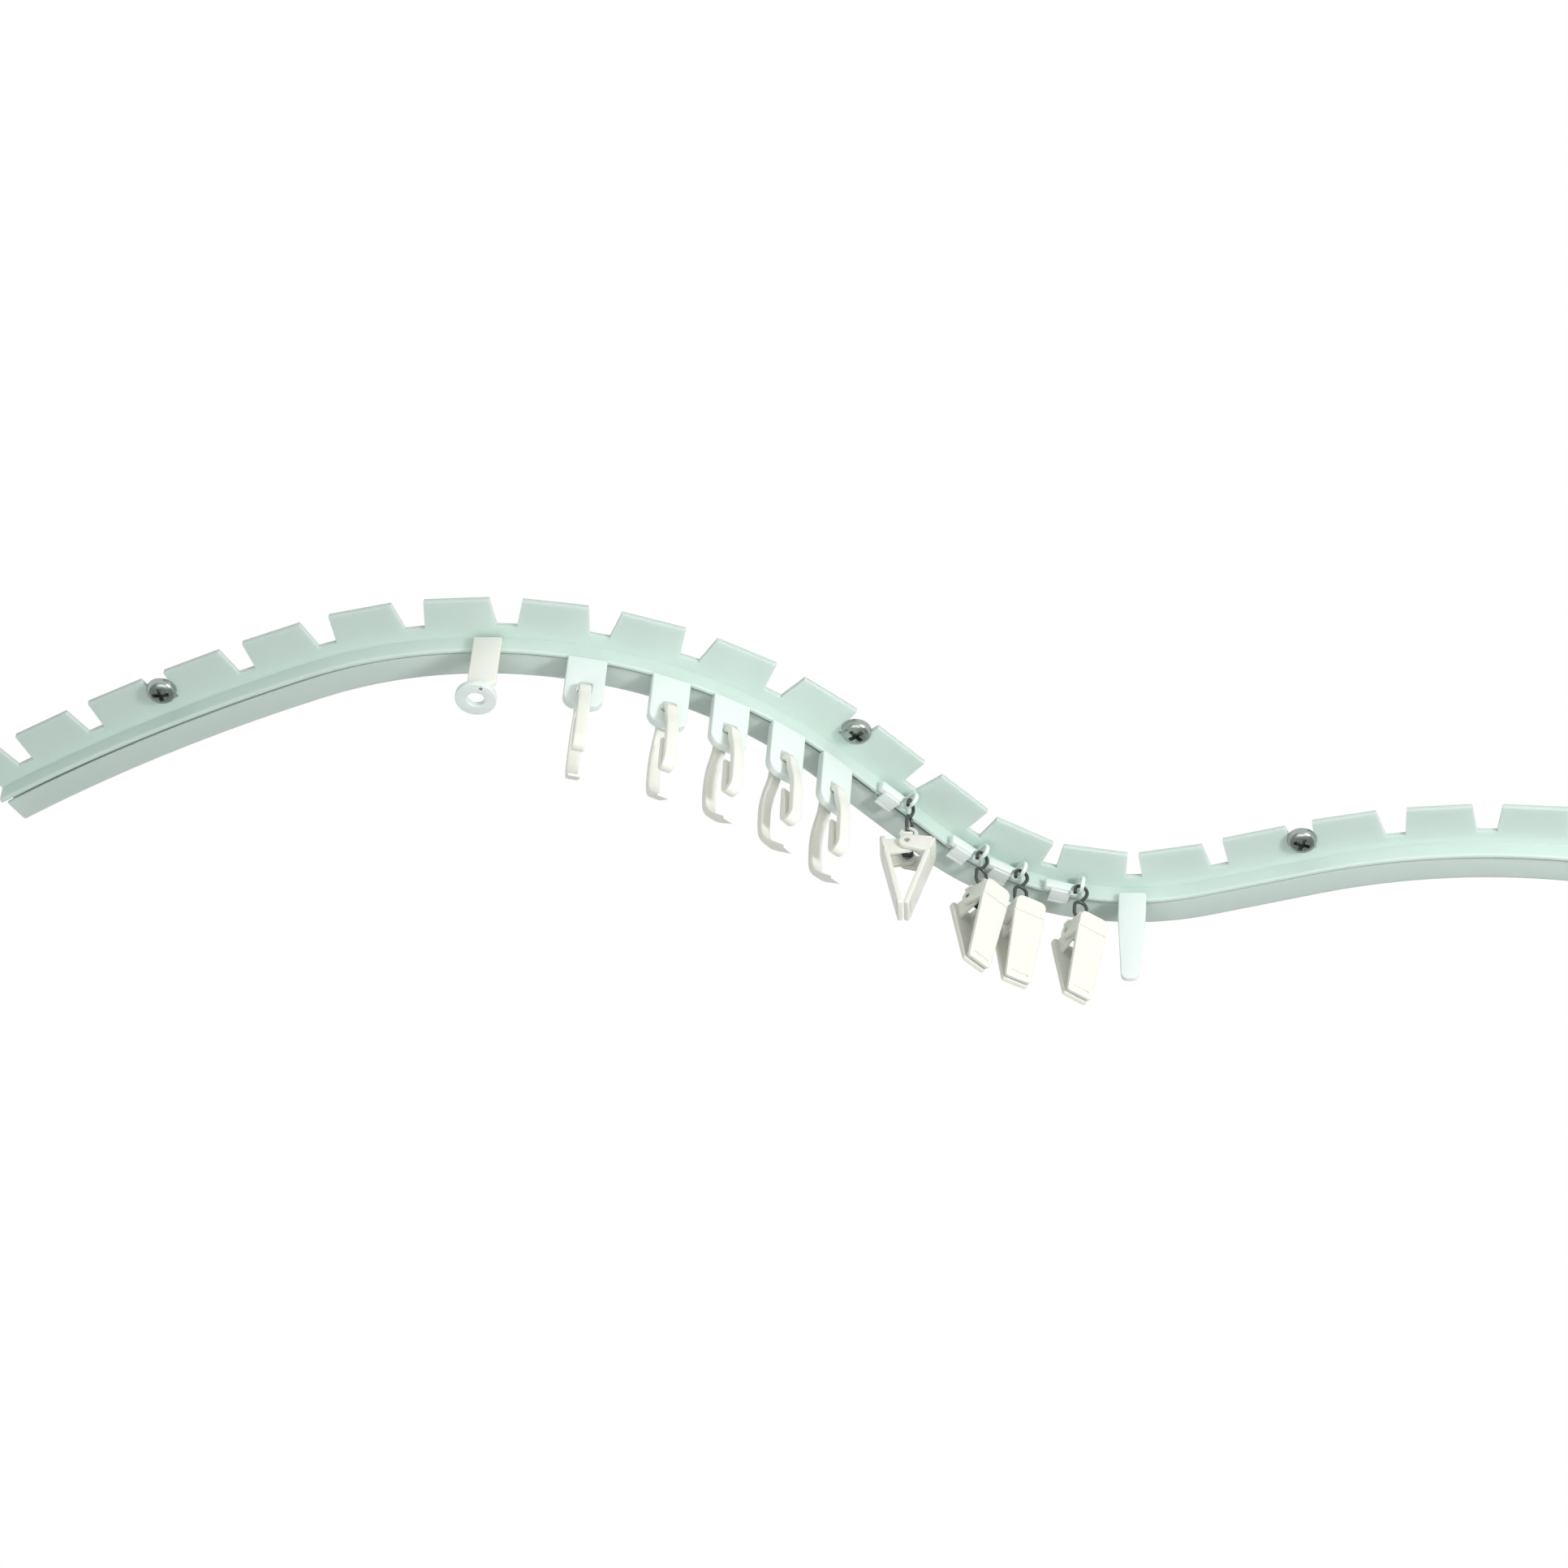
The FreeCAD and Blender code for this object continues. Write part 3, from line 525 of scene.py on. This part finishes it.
upright = Matrix.Rotation(math.pi / 2, 4, "X")
tab_outline = soft_corners([(-tab_half, under_fascia), (-tab_half, tab_foot), (tab_half, tab_foot),
                            (tab_half, under_fascia)], [0.5, 3.2, 3.2, 0.5], 10)
eye_outline = soft_corners([(-eye_half, eye_top), (-eye_half, eye_bottom), (eye_half, eye_bottom),
                            (eye_half, eye_top)], 0.6, 4)
tab = cut_plate(tab_outline, [eye_outline], tab_thickness, 0.35)
tab.transform(Matrix.Translation((0, tab_middle, 0)) @ upright)
tab_bridge = block(-neck_half, neck_half, wall, neck_back, bridge_foot, under_fascia, 0.3)
tab_parts = [tab, tab_bridge] + sliding_foot(bridge_foot + 0.1)
for number, distance in enumerate(glider_places, 1):
    joined("glider_%d_skin" % number, [(mesh, at_track(distance)) for mesh in tab_parts],
           white_plastic, "glider_%d" % number, ["glider_%d" % number])

# Drapery hooks
# Five moulded strips, each hung in the eye of its tab: a short front leg that turns up as a
# tongue to grip the header tape, and a long rear leg that ends in a point.
glider_turns = [2.0, 4.0, 12.0, 12.0, -3.0]
hook_pivot = (0, 0.7, -19.5)
hook_lean = math.radians(-1.919)
hook_thickness = 1.8
hook_width = 3.0
bend_radius = 2.9
front_line = -4.6
turn_up_radius = 1.45
turn_up_z = -18.55


def smooth_line(points, times=3):
    # rounds a line of (y, z, thickness) by cutting its corners, its ends stay
    for _ in range(times):
        cut = [points[0]]
        for a, b in zip(points, points[1:]):
            cut.append(tuple(0.75 * p + 0.25 * q for p, q in zip(a, b)))
            cut.append(tuple(0.25 * p + 0.75 * q for p, q in zip(a, b)))
        cut.append(points[-1])
        points = cut
    return points


def flat_strip(points, width, corner):
    # a strip in the yz plane, its thickness changes along the line and its edges are rounded
    made = bmesh.new()
    rings = []
    shape = soft_corners([(-1, -1), (1, -1), (1, 1), (-1, 1)], corner, 4)
    for i, (y, z, thick) in enumerate(points):
        before, after = points[max(i - 1, 0)], points[min(i + 1, len(points) - 1)]
        dy, dz = after[0] - before[0], after[1] - before[1]
        size = math.hypot(dy, dz)
        ny, nz = -dz / size, dy / size
        rings.append([made.verts.new((u * width / 2, y + ny * v * thick / 2,
                                      z + nz * v * thick / 2)) for u, v in shape])
    for low, high in zip(rings, rings[1:]):
        for k in range(len(shape)):
            n = (k + 1) % len(shape)
            made.faces.new((low[k], low[n], high[n], high[k]))
    made.faces.new(rings[0])
    made.faces.new(rings[-1])
    return as_mesh(made, "strip")


# moulded nylon, ivory: warmer and more translucent than the tabs, with the same soft shine
ivory_plastic, tree = new_material("moulded nylon")
skin = add_node(tree, "ShaderNodeBsdfPrincipled", {
    "Base Color": linear("F4F4EB"), "Roughness": 0.38, "IOR": 1.53,
    "Subsurface Weight": 0.2, "Subsurface Radius": (0.003, 0.0024, 0.0016),
    "Subsurface Scale": 1.0})
add_node(tree, "ShaderNodeOutputMaterial", None, {"Surface": skin.outputs[0]})


def bent(middle_y, middle_z, radius, angles):
    # points of (y, z, thickness) round a bend of the strip, angles in degrees
    return [(middle_y + radius * math.cos(math.radians(a)),
             middle_z + radius * math.sin(math.radians(a)), hook_thickness) for a in angles]


t = hook_thickness
tongue = [(-1.4, -9.0, t * 0.55), (-1.6, turn_up_z + 5.0, t * 0.9), (-1.7, turn_up_z + 2.0, t)]
turn_up = bent(front_line + turn_up_radius, turn_up_z, turn_up_radius, (0, -45, -90, -135, -180))
front_leg = [(front_line, turn_up_z + 2.0, t), (front_line, -7.5, t), (-bend_radius - 0.2, -2.0, t)]
over = bent(0.0, 0.0, bend_radius, range(180, -1, -15))
rear_leg = [(bend_radius + 0.2, -2.0, t), (5.6, -8.0, t), (5.6, -17.5, t), (4.8, -21.5, t * 0.95),
            (2.7, -24.6, t * 0.85), (-1.6, -28.8, t * 0.5), (-3.0, -30.2, t * 0.3)]
hook = flat_strip(smooth_line(tongue + turn_up + front_leg + over + rear_leg), hook_width, 0.35)
hook.transform(Matrix.Rotation(hook_lean, 4, "X"))
for number, (distance, turn) in enumerate(zip(glider_places, glider_turns), 1):
    place = (at_track(distance) @ Matrix.Translation(hook_pivot)
             @ Matrix.Rotation(math.radians(turn), 4, "Z"))
    joined("hook_%d_skin" % number, [(hook, place)], ivory_plastic, "hook_%d" % number,
           ["hook_%d" % number])

# Clip carriers
# Four short bars, moulded in acetal, that ride in front of the fascia. Each reaches under it to a
# foot in the slot and ends in a lug with a round hole for the wire.
carrier_places = [249.0, 273.4, 284.8, 300.5]
lug_place = (4.8, -2.9, -4.5)
lug_radius = 2.2
lug_hole = 1.3
bar_half = 4.2
pocket_place = (4.8, -2.9, -6.7)
pocket_radius = 2.55
pocket_half = 2.05


def washer(radius, hole, thickness, edge):
    # a flat round plate with a round hole, in the xy plane
    circle = [(math.cos(2 * math.pi * k / 32), math.sin(2 * math.pi * k / 32)) for k in range(32)]
    return cut_plate([(radius * x, radius * y) for x, y in circle],
                     [[(hole * x, hole * y) for x, y in circle]], thickness, edge)


sideways = Matrix.Rotation(math.pi / 2, 4, "Y")
bar = block(-bar_half, bar_half, -2.4, -0.3, -6.6, -4.0, 0.6, 4)
lug = washer(lug_radius, lug_hole, 1.0, 0.2)
lug.transform(Matrix.Translation(lug_place) @ sideways)
# a hollow in the bar's end gives the wire room to swing
pocket = lathe([(0.0, -pocket_half), (pocket_radius, -pocket_half), (pocket_radius, pocket_half),
                (0.0, pocket_half)], 32)
pocket.transform(Matrix.Translation(pocket_place) @ upright)
pocket_room = block(-1.0, bar_half + 0.005, -6.0, 1.0, -12.0, -1.0)
bar = combined(bar, [combined(pocket, [pocket_room], "INTERSECT")], "DIFFERENCE")
reach = block(-neck_half, neck_half, -1.6, neck_back, -7.0, under_fascia, 0.25)
carrier_parts = [bar, lug, reach] + sliding_foot(-7.1)
for number, distance in enumerate(carrier_places, 1):
    joined("carrier_%d_skin" % number, [(mesh, at_track(distance)) for mesh in carrier_parts],
           white_plastic, "carrier_%d" % number, ["carrier_%d" % number])

# Wire eyes
# Four pieces of plated steel wire, each bent over to a crook that hangs in the lug of its carrier
# and closed at the foot to a loop that carries the clip.
clip_turns = [44.0, 4.0, -2.0, 20.0]
wire_radius = 0.45
loop_radius = 1.6
wire_height = 11.0
wire_place = (4.8, -2.9, -5.1)
link_top = -7.2

tree, sizes = new_tree("Round wire", [
    ("Radius", "Float"), ("Sides", "Int"), ("Material", "Material")])
line = add_node(tree, "GeometryNodeMeshToCurve", None, {"Mesh": sizes.outputs["Geometry"]})
ring = add_node(tree, "GeometryNodeCurvePrimitiveCircle", None,
                {"Resolution": sizes.outputs["Sides"], "Radius": sizes.outputs["Radius"]})
wire = add_node(tree, "GeometryNodeCurveToMesh", {"Fill Caps": True},
                {"Curve": line.outputs[0], "Profile Curve": ring.outputs[0]})
real = add_node(tree, "GeometryNodeRealizeInstances", None, {"Geometry": wire.outputs[0]})
coated = add_node(tree, "GeometryNodeSetMaterial", None,
                  {"Geometry": real.outputs[0], "Material": sizes.outputs["Material"]})
add_node(tree, "NodeGroupOutput", None, {0: coated.outputs[0]})
round_wire = tree

# plated steel wire: dark grey, drawn smooth, with a narrow bright line along it
wire_steel, tree = new_material("drawn steel wire")
skin = add_node(tree, "ShaderNodeBsdfPrincipled", {
    "Base Color": linear("5E6361"), "Metallic": 1.0, "Roughness": 0.36})
add_node(tree, "ShaderNodeOutputMaterial", None, {"Surface": skin.outputs[0]})


def drawn_wire(points, radius, sides=12):
    return grown(round_wire, polyline(points),
                 {"Radius": radius, "Sides": sides, "Material": wire_steel})


def half_turn(centre, start, end, steps=16):
    # points of an arc in the xz plane, angles in degrees from the x axis
    angles = [math.radians(start + (end - start) * k / steps) for k in range(steps + 1)]
    return [(loop_radius * math.cos(a), 0.0, centre + loop_radius * math.sin(a)) for a in angles]


crook = [(-loop_radius, 0.0, -2.9)] + half_turn(-loop_radius, 180, 0)
shank = smooth_line([crook[-1], (loop_radius, 0.0, -2.5), (0.0, 0.0, -5.6)], 2)
link = (half_turn(link_top, 90, 0) + half_turn(-wire_height + loop_radius, 0, -180)
        + half_turn(link_top, 180, 90))
wire_eye = drawn_wire(crook + shank[1:] + link[1:], wire_radius)
for number, (distance, turn) in enumerate(zip(carrier_places, clip_turns), 1):
    place = (at_track(distance) @ Matrix.Translation(wire_place)
             @ Matrix.Rotation(math.radians(turn / 2), 4, "Z"))
    joined("wire_eye_%d_skin" % number, [(wire_eye, place)], wire_steel,
           "wire_eye_%d" % number, ["wire_eye_%d" % number])

# Spring clips
# Four curtain clips: two tapered plastic jaws on one steel pin, closed at the tips by a small
# torsion spring. The front jaw carries the eye that hangs in the wire.
clip_lean = math.radians(0.0118)
pin_z = -6.6
tip_z = -27.0
top_z = -4.4
spread = 5.6
jaw_thickness = 1.3
jaw_half = 4.0
tip_half = 3.4
half_gap = 0.05
front_cheeks = (2.975, 4.075)
back_cheeks = (1.625, 2.725)
eye_radius = 2.3
eye_hole = 1.3
eye_z = -0.6
pin_radius = 0.8
pin_half = 4.075
coil_turns = 3
coil_radius = 1.2
coil_half = 1.0
coil_wire = 0.29
clip_z = wire_place[2] - wire_height
jaw_drop = top_z - tip_z
jaw_angle = math.atan2(spread - half_gap, jaw_drop)
jaw_length = math.hypot(spread - half_gap, jaw_drop)

# moulded polystyrene, warm white: smooth and glossier than the tabs
clip_plastic, tree = new_material("moulded polystyrene")
skin = add_node(tree, "ShaderNodeBsdfPrincipled", {
    "Base Color": linear("EBEBE2"), "Roughness": 0.3, "IOR": 1.5,
    "Subsurface Weight": 0.08, "Subsurface Radius": (0.0012, 0.0012, 0.001),
    "Subsurface Scale": 1.0})
add_node(tree, "ShaderNodeOutputMaterial", None, {"Surface": skin.outputs[0]})

jaw_outline = soft_corners(
    [(-jaw_half, jaw_length), (-jaw_half, jaw_length * 0.75), (-tip_half, 0.0), (tip_half, 0.0),
     (jaw_half, jaw_length * 0.75), (jaw_half, jaw_length)], [1.7, 4.0, 0.8, 0.8, 4.0, 1.7], 8)
flat = jaw_thickness * math.cos(jaw_angle)
jaw = cut_plate(jaw_outline, [], flat, 0.3)
# the line across the thumb end and the short slit at the tip, both cut in the outer face
thumb_line = jaw_length * 0.8
grooves = [block(-5.0, 5.0, thumb_line - 0.25, thumb_line + 0.25, flat / 2 - 0.3, flat),
           block(-2.3, 2.3, 1.3, 2.0, flat / 2 - 0.35, flat)]
jaw = combined(jaw, grooves, "DIFFERENCE")


def set_jaw(side):
    # the plate stands on its tip and leans out to its thumb end, its outer face away from the pin
    out = Matrix.Rotation(-side * jaw_angle, 4, "X")
    about = Matrix.Rotation(math.pi, 4, "Z") if side > 0 else Matrix.Identity(4)
    shift = Matrix.Translation((0, side * (half_gap + jaw_thickness / 2), tip_z))
    return shift @ out @ about @ upright


def cheek_plates(side, inner, outer):
    # two ears that run from the jaw to the pin
    lean = spread * (pin_z - tip_z) / jaw_drop
    profile = [(0.0, pin_z + 2.0), (side * (lean + 0.9), pin_z + 1.6),
               (side * (lean - 0.3), pin_z - 3.2), (0.0, pin_z - 2.0)]
    profile += [(2.0 * math.cos(math.radians(a)) * -side, pin_z + 2.0 * math.sin(math.radians(a)))
                for a in range(-75, 76, 15)]
    on_edge = Matrix(((0, 0, 1, 0), (1, 0, 0, 0), (0, 1, 0, 0), (0, 0, 0, 1)))
    found = []
    for hand in (1, -1):
        plate = cut_plate(profile, [], outer - inner, 0.15, 2)
        plate.transform(Matrix.Translation((hand * (inner + outer) / 2, 0, 0)) @ on_edge)
        found.append(plate)
    return found


front_jaw = jaw.copy()
front_jaw.transform(set_jaw(-1))
back_jaw = jaw.copy()
back_jaw.transform(set_jaw(1))
eye = washer(eye_radius, eye_hole, 1.0, 0.2)
eye.transform(Matrix.Translation((0, 0, eye_z)) @ sideways)
eye_leg = block(-0.5, 0.5, -1.6, 1.6, -3.9, -1.9, 0.15)
yoke = block(-pin_half, pin_half, -1.2, 1.2, -4.3, -3.6, 0.2)
front_parts = [front_jaw, eye, eye_leg, yoke] + cheek_plates(-1, *front_cheeks)
back_parts = [back_jaw] + cheek_plates(1, *back_cheeks)
pin = lathe([(0.0, -pin_half), (pin_radius - 0.1, -pin_half), (pin_radius, -pin_half + 0.1),
             (pin_radius, pin_half - 0.1), (pin_radius - 0.1, pin_half), (0.0, pin_half)], 24)
pin.transform(Matrix.Translation((0, 0, pin_z)) @ sideways)
coil_points = []
coil_steps = coil_turns * 20
for k in range(coil_steps + 1):
    turn = 2 * math.pi * k / 20
    coil_points.append((coil_half * (2.0 * k / coil_steps - 1.0), coil_radius * math.sin(turn),
                        pin_z + coil_radius * math.cos(turn)))
coil = drawn_wire(coil_points, coil_wire, sides=8)
for number, (distance, turn) in enumerate(zip(carrier_places, clip_turns), 1):
    place = (at_track(distance) @ Matrix.Translation((wire_place[0], wire_place[1], clip_z))
             @ Matrix.Rotation(math.radians(turn), 4, "Z") @ Matrix.Rotation(clip_lean, 4, "X"))
    joined("clip_front_%d_skin" % number, [(mesh, place) for mesh in front_parts], clip_plastic,
           "clip_%d" % number, ["clip_front_%d" % number])
    joined("clip_back_%d_skin" % number, [(mesh, place) for mesh in back_parts], clip_plastic,
           "clip_jaw_%d" % number, ["clip_back_%d" % number])
    joined("clip_metal_%d_skin" % number, [(pin, place), (coil, place)], wire_steel,
           "clip_%d" % number, ["clip_pin_%d" % number, "clip_spring_%d" % number])

# Left end stop
# A flat stem of ivory nylon in front of the fascia, gripped by its foot in the slot. A white disc
# with a hole for a cord is pushed on the peg at its lower end.
stop_place = 138.0
stop_half = 3.4
stop_middle = -0.9
stem_foot = -19.0
peg_radius = 0.5
peg_foot = -20.6
peg_top = -18.9
disc_place = (-1.5, 2.6, -19.8)
disc_radius = 5.0
disc_hole = 2.1
stem = block(-stop_half, stop_half, stop_middle - 0.75, stop_middle + 0.75, stem_foot, -3.0, 0.3)
stop_reach = block(-neck_half, neck_half, -0.45, neck_back, -7.3, under_fascia, 0.2)
peg = lathe([(0.0, peg_foot), (peg_radius - 0.08, peg_foot), (peg_radius, peg_foot + 0.1),
             (peg_radius, peg_top), (0.0, peg_top)], 20)
peg.transform(Matrix.Translation((0, stop_middle, 0)))
stem_parts = [stem, stop_reach, peg] + sliding_foot(-7.2)
joined("left_stop_skin", [(mesh, at_track(stop_place)) for mesh in stem_parts], ivory_plastic,
       "track", ["left_stop_stem"])
disc = washer(disc_radius, disc_hole, 1.6, 0.25)
disc.transform(Matrix.Translation(disc_place))
joined("left_disc_skin", [(disc, at_track(stop_place))], white_plastic, "track",
       ["left_stop_eyelet"])

# Right end stop
# The same foot, moulded in one piece of white acetal with a tapered tongue that hangs down in front
# of the fascia and keeps the carriers on the track.
right_place = 318.2
tongue_foot = -34.0
tongue_end_half = 2.1
tongue_outline = soft_corners(
    [(-stop_half, -4.6), (-stop_half, -13.0), (-tongue_end_half, tongue_foot),
     (tongue_end_half, tongue_foot), (stop_half, -13.0), (stop_half, -4.6)],
    [0.8, 8.0, 1.8, 1.8, 8.0, 0.8], 8)
tongue_plate = cut_plate(tongue_outline, [], 1.5, 0.3)
tongue_plate.transform(Matrix.Translation((0, stop_middle, 0)) @ upright)
right_parts = [tongue_plate, stop_reach] + sliding_foot(-7.2)
joined("right_stop_skin", [(mesh, at_track(right_place)) for mesh in right_parts], white_plastic,
       "track", ["right_stop"])

# Room and light
# A pale ceiling that the track is screwed to, a pale floor far below, a soft lamp near in front and
# to the right that throws the shadows, and a large weak one from below.
def seen_or_mirrored(tree):
    # 1 for what the camera sees, also in a mirror or through glass, and 0 for what gives light
    path = add_node(tree, "ShaderNodeLightPath")
    seen = add_node(tree, "ShaderNodeMath", {"operation": "MAXIMUM"},
                    {0: path.outputs["Is Camera Ray"], 1: path.outputs["Is Glossy Ray"]})
    seen = add_node(tree, "ShaderNodeMath", {"operation": "MAXIMUM"},
                    {0: seen.outputs[0], 1: path.outputs["Is Transmission Ray"]})
    return seen.outputs[0]


# matt ceiling paint: plain white where it is seen from below, and clear from above
ceiling_paint, tree = new_material("matt ceiling paint")
seen = seen_or_mirrored(tree)
paint = add_node(tree, "ShaderNodeBsdfDiffuse", {"Color": linear("E6E8E6")})
white = add_node(tree, "ShaderNodeEmission", {"Color": (1, 1, 1, 1), "Strength": 1.0})
front = add_node(tree, "ShaderNodeMixShader", None,
                 {0: seen, 1: paint.outputs[0], 2: white.outputs[0]})
side = add_node(tree, "ShaderNodeNewGeometry")
clear = add_node(tree, "ShaderNodeBsdfTransparent")
shown = add_node(tree, "ShaderNodeMixShader", None,
                 {0: side.outputs["Backfacing"], 1: front.outputs[0], 2: clear.outputs[0]})
add_node(tree, "ShaderNodeOutputMaterial", None, {"Surface": shown.outputs[0]})

# matt floor paint: pale and even
floor_paint, tree = new_material("matt floor paint")
paint = add_node(tree, "ShaderNodeBsdfDiffuse", {"Color": linear("E4E6E4")})
add_node(tree, "ShaderNodeOutputMaterial", None, {"Surface": paint.outputs[0]})


def flat_sheet(name, half, height, face_down, material):
    # a square of plain sheet at a height, its front turned up or down
    corners = [(-half, -half, height), (half, -half, height), (half, half, height),
               (-half, half, height)]
    mesh = bpy.data.meshes.new(name)
    mesh.from_pydata(corners, [], [(3, 2, 1, 0) if face_down else (0, 1, 2, 3)])
    mesh.materials.append(material)
    return put_in_scene(name, mesh)


# a hair above the flange, so that the two faces don't share a plane
ceiling = flat_sheet("ceiling", 3.0, 0.00005, True, ceiling_paint)
floor = flat_sheet("floor", 4.0, -1.6, False, floor_paint)

world = bpy.data.worlds.new("soft studio")
bpy.context.scene.world = world
world.use_nodes = True
tree = world.node_tree
tree.nodes.clear()
seen = seen_or_mirrored(tree)
dim = add_node(tree, "ShaderNodeBackground", {"Color": (1, 1, 1, 1), "Strength": 0.45})
bright = add_node(tree, "ShaderNodeBackground", {"Color": (1, 1, 1, 1), "Strength": 1.0})
mixed = add_node(tree, "ShaderNodeMixShader", None,
                 {0: seen, 1: dim.outputs[0], 2: bright.outputs[0]})
add_node(tree, "ShaderNodeOutputWorld", None, {"Surface": mixed.outputs[0]})


def soft_lamp(name, azimuth, elevation, distance, size, watts):
    # a square lamp that shines at the track's middle, angles in degrees and lengths in metres
    lamp = bpy.data.lights.new(name, "AREA")
    lamp.shape = "SQUARE"
    lamp.size = size
    lamp.energy = watts
    holder = put_in_scene(name, lamp)
    a, e = math.radians(azimuth), math.radians(elevation)
    spot = Vector((math.cos(a) * math.cos(e), math.sin(a) * math.cos(e), math.sin(e))) * distance
    holder.location = spot
    holder.rotation_euler = (-spot).to_track_quat("-Z", "Y").to_euler()


soft_lamp("key lamp", -46.0, -27.0, 0.9, 0.16, 4.3)
soft_lamp("fill lamp", -100.0, -62.0, 1.5, 1.2, 9.0)

# Camera
# In front of the track and below it, looking up at the ceiling through a long lens, and turned a
# little about its own line of sight as in the photo.
target = Vector((0.00188, 0.01946, 0.0))
distance = 1.5378
climb = math.radians(46.09)
roll = math.radians(5.335)
view_angle = math.radians(14.19)
spot = target + Vector((0, -distance * math.cos(climb), -distance * math.sin(climb)))
ahead = (target - spot).normalized()
right = ahead.cross(Vector((0, 0, 1))).normalized()
up = right.cross(ahead)
camera_right = right * math.cos(roll) + up * math.sin(roll)
camera_up = -right * math.sin(roll) + up * math.cos(roll)
camera = bpy.data.cameras.new("camera")
camera.sensor_fit = "HORIZONTAL"
camera.angle = view_angle
camera.clip_start = 0.01
camera_holder = put_in_scene("camera", camera)
camera_holder.matrix_world = Matrix((
    (camera_right.x, camera_up.x, -ahead.x, spot.x),
    (camera_right.y, camera_up.y, -ahead.y, spot.y),
    (camera_right.z, camera_up.z, -ahead.z, spot.z),
    (0, 0, 0, 1)))
bpy.context.scene.camera = camera_holder
bpy.context.scene.view_settings.view_transform = "Standard"
